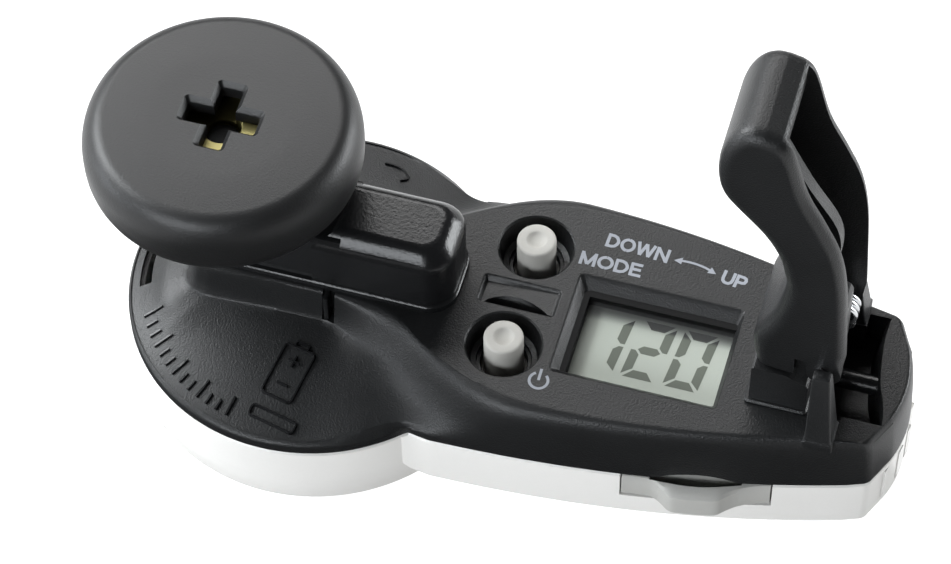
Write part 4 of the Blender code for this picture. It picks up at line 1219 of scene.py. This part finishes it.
def arm_spring():
    """Torsion spring coiled round the hinge pin."""
    turns, wire, radius, sides, around = 3.5, 0.35, 1.72, 12, 36
    steps = int(turns * around)
    points, faces = [], []
    for i in range(steps + 1):
        a = 2 * math.pi * i / around
        y = 1.3 + (2 * wire + 0.12) * i / around
        for j in range(sides):
            b = 2 * math.pi * j / sides
            reach = radius + wire * math.cos(b)
            points.append((PIVOT_X + reach * math.cos(a), y + wire * math.sin(b),
                           PIVOT_Z - reach * math.sin(a)))
    for i in range(steps):
        for j in range(sides):
            k = (j + 1) % sides
            faces.append((i * sides + j, (i + 1) * sides + j, (i + 1) * sides + k, i * sides + k))
    faces.append(tuple(range(sides)))
    faces.append(tuple(steps * sides + j for j in reversed(range(sides))))
    return solid("spring_wire", points, faces)


SPRING_BODY = body_of(frame["nodes"]["arm_spring"])
spring = dress(arm_spring(), "steel", body="arm" if SPRING_BODY == "arm" else "casing")
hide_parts("arm_spring")

pin = dress(rod_y("pin_steel", PIVOT_X, PIVOT_Z, PIN_R, -8.0, 8.0, 48), "steel")
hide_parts("hinge_pin")
bar = dress(rod_x("bar_steel", 0.0, BAR_Z, BAR_R, 61.1, 67.6, 48), "dark_steel",
            LOOKS["block_black"])
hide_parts("lanyard_bar")


# ---------- the other CAD pieces
NODES_OF_SLOT = {
    "steel": ("wheel_axle", "idler_pin_first", "idler_pin_second", "encoder_arbor", "mode_switch",
              "power_switch", "coin_cell", "battery_contact_upper", "battery_contact_lower"),
    "dark_steel": ("case_screw_round_far", "case_screw_round_near", "case_screw_end_far",
                   "case_screw_end_near"),
    "brass": ("axle_bearing_upper", "arbor_bearing"),
    "gear_nylon": ("axle_bearing_lower", "drive_gear", "idler_gear_first", "idler_gear_second",
                   "encoder_pinion"),
    "chip_black": ("encoder_disc", "encoder_sensor", "lcd_connector"),
    "board_green": ("circuit_board",),
    "block_black": ("lcd_holder",),
}
for slot_name, node_names in NODES_OF_SLOT.items():
    for node_name in node_names:
        for part_slot in frame["nodes"][node_name].material_slots:
            part_slot.material = LOOKS[slot_name]


# ---------- floor, light and camera
paper = bpy.data.materials.new("floor_paper")
paper.use_nodes = True
fill(paper.node_tree.nodes["Principled BSDF"],
     {"Base Color": (0.35, 0.35, 0.35, 1), "Roughness": 0.9, "Specular IOR Level": 0.1,
      "Emission Color": (1, 1, 1, 1), "Emission Strength": 0.85})


def floor(name, x0, x1, y0, y1, mirrored):
    """Piece of the white floor; the one in front stays out of glossy reflections."""
    mesh = bpy.data.meshes.new(name)
    ground = cad_low[2]
    mesh.from_pydata([(x0, y0, ground), (x1, y0, ground), (x1, y1, ground), (x0, y1, ground)],
                     [], [(0, 1, 2, 3)])
    mesh.materials.append(paper)
    half = link(bpy.data.objects.new(name, mesh))
    half.visible_glossy = mirrored


FLOOR_REACH, FRONT_X0, FRONT_X1 = 3.0, -0.045, 0.082
floor("floor_near", FRONT_X0, FRONT_X1, -FLOOR_REACH, 0.0, False)
floor("floor_left", -FLOOR_REACH, FRONT_X0, -FLOOR_REACH, 0.0, True)
floor("floor_right", FRONT_X1, FLOOR_REACH, -FLOOR_REACH, 0.0, True)
floor("floor_far", -FLOOR_REACH, FLOOR_REACH, 0.0, FLOOR_REACH, True)

world = bpy.data.worlds.new("studio")
bpy.context.scene.world = world
world.use_nodes = True
fill(world.node_tree.nodes["Background"], {"Color": (1, 1, 1, 1), "Strength": 0.07})


def area_light(name, position, aim, size, power, colour=(1, 1, 1)):
    data = bpy.data.lights.new(name, "AREA")
    data.color = colour
    data.shape = "RECTANGLE"
    data.size, data.size_y = size
    data.energy = power
    lamp = link(bpy.data.objects.new(name, data))
    direction = Vector(aim) - Vector(position)
    lamp.rotation_euler = direction.to_track_quat("-Z", "Y").to_euler()
    lamp.location = position


CENTRE = (0.025, 0.0, 0.02)
area_light("back_softbox", (-0.22, 0.54, 0.58), CENTRE, (0.66, 0.34), 5.2)
area_light("left_softbox", (-0.62, 0.10, 0.50), CENTRE, (0.46, 0.46), 12.5, (0.95, 0.98, 1.0))
area_light("front_fill", (-0.22, -0.64, 0.37), CENTRE, (0.5, 0.22), 4.8, (0.92, 0.96, 1.0))
area_light("left_strip", (-0.75, -0.25, 0.12), CENTRE, (0.3, 0.2), 2.2, (0.90, 0.95, 1.0))
area_light("right_strip", (0.62, 0.42, 0.12), CENTRE, (0.4, 0.24), 5.2, (0.95, 0.98, 1.0))

AZIMUTH, ELEVATION, DISTANCE = math.radians(16.156), math.radians(55.939), 0.41603
ROLL, TARGET = math.radians(-0.348), Vector((0.025138, 0.000048, 0.0197))
SENSOR, LENS, SHIFT_X, SHIFT_Y = 36.0, 136.8806, -0.048686, 0.013870
back = Vector((math.sin(AZIMUTH) * math.cos(ELEVATION), -math.cos(AZIMUTH) * math.cos(ELEVATION),
               math.sin(ELEVATION)))
right = (-back).cross(Vector((0, 0, 1))).normalized()
up = right.cross(-back)
rolled_right = right * math.cos(ROLL) + up * math.sin(ROLL)
rolled_up = up * math.cos(ROLL) - right * math.sin(ROLL)
camera_data = bpy.data.cameras.new("camera")
camera = link(bpy.data.objects.new("camera", camera_data))
camera.matrix_world = Matrix((rolled_right, rolled_up, back)).transposed().to_4x4()
camera.location = TARGET + back * DISTANCE
camera_data.sensor_width = SENSOR
camera_data.lens = LENS
camera_data.shift_x = SHIFT_X
camera_data.shift_y = SHIFT_Y
camera_data.clip_start = 0.01
bpy.context.scene.camera = camera
bpy.context.scene.view_settings.view_transform = "Standard"
bpy.context.scene.view_settings.look = "None"
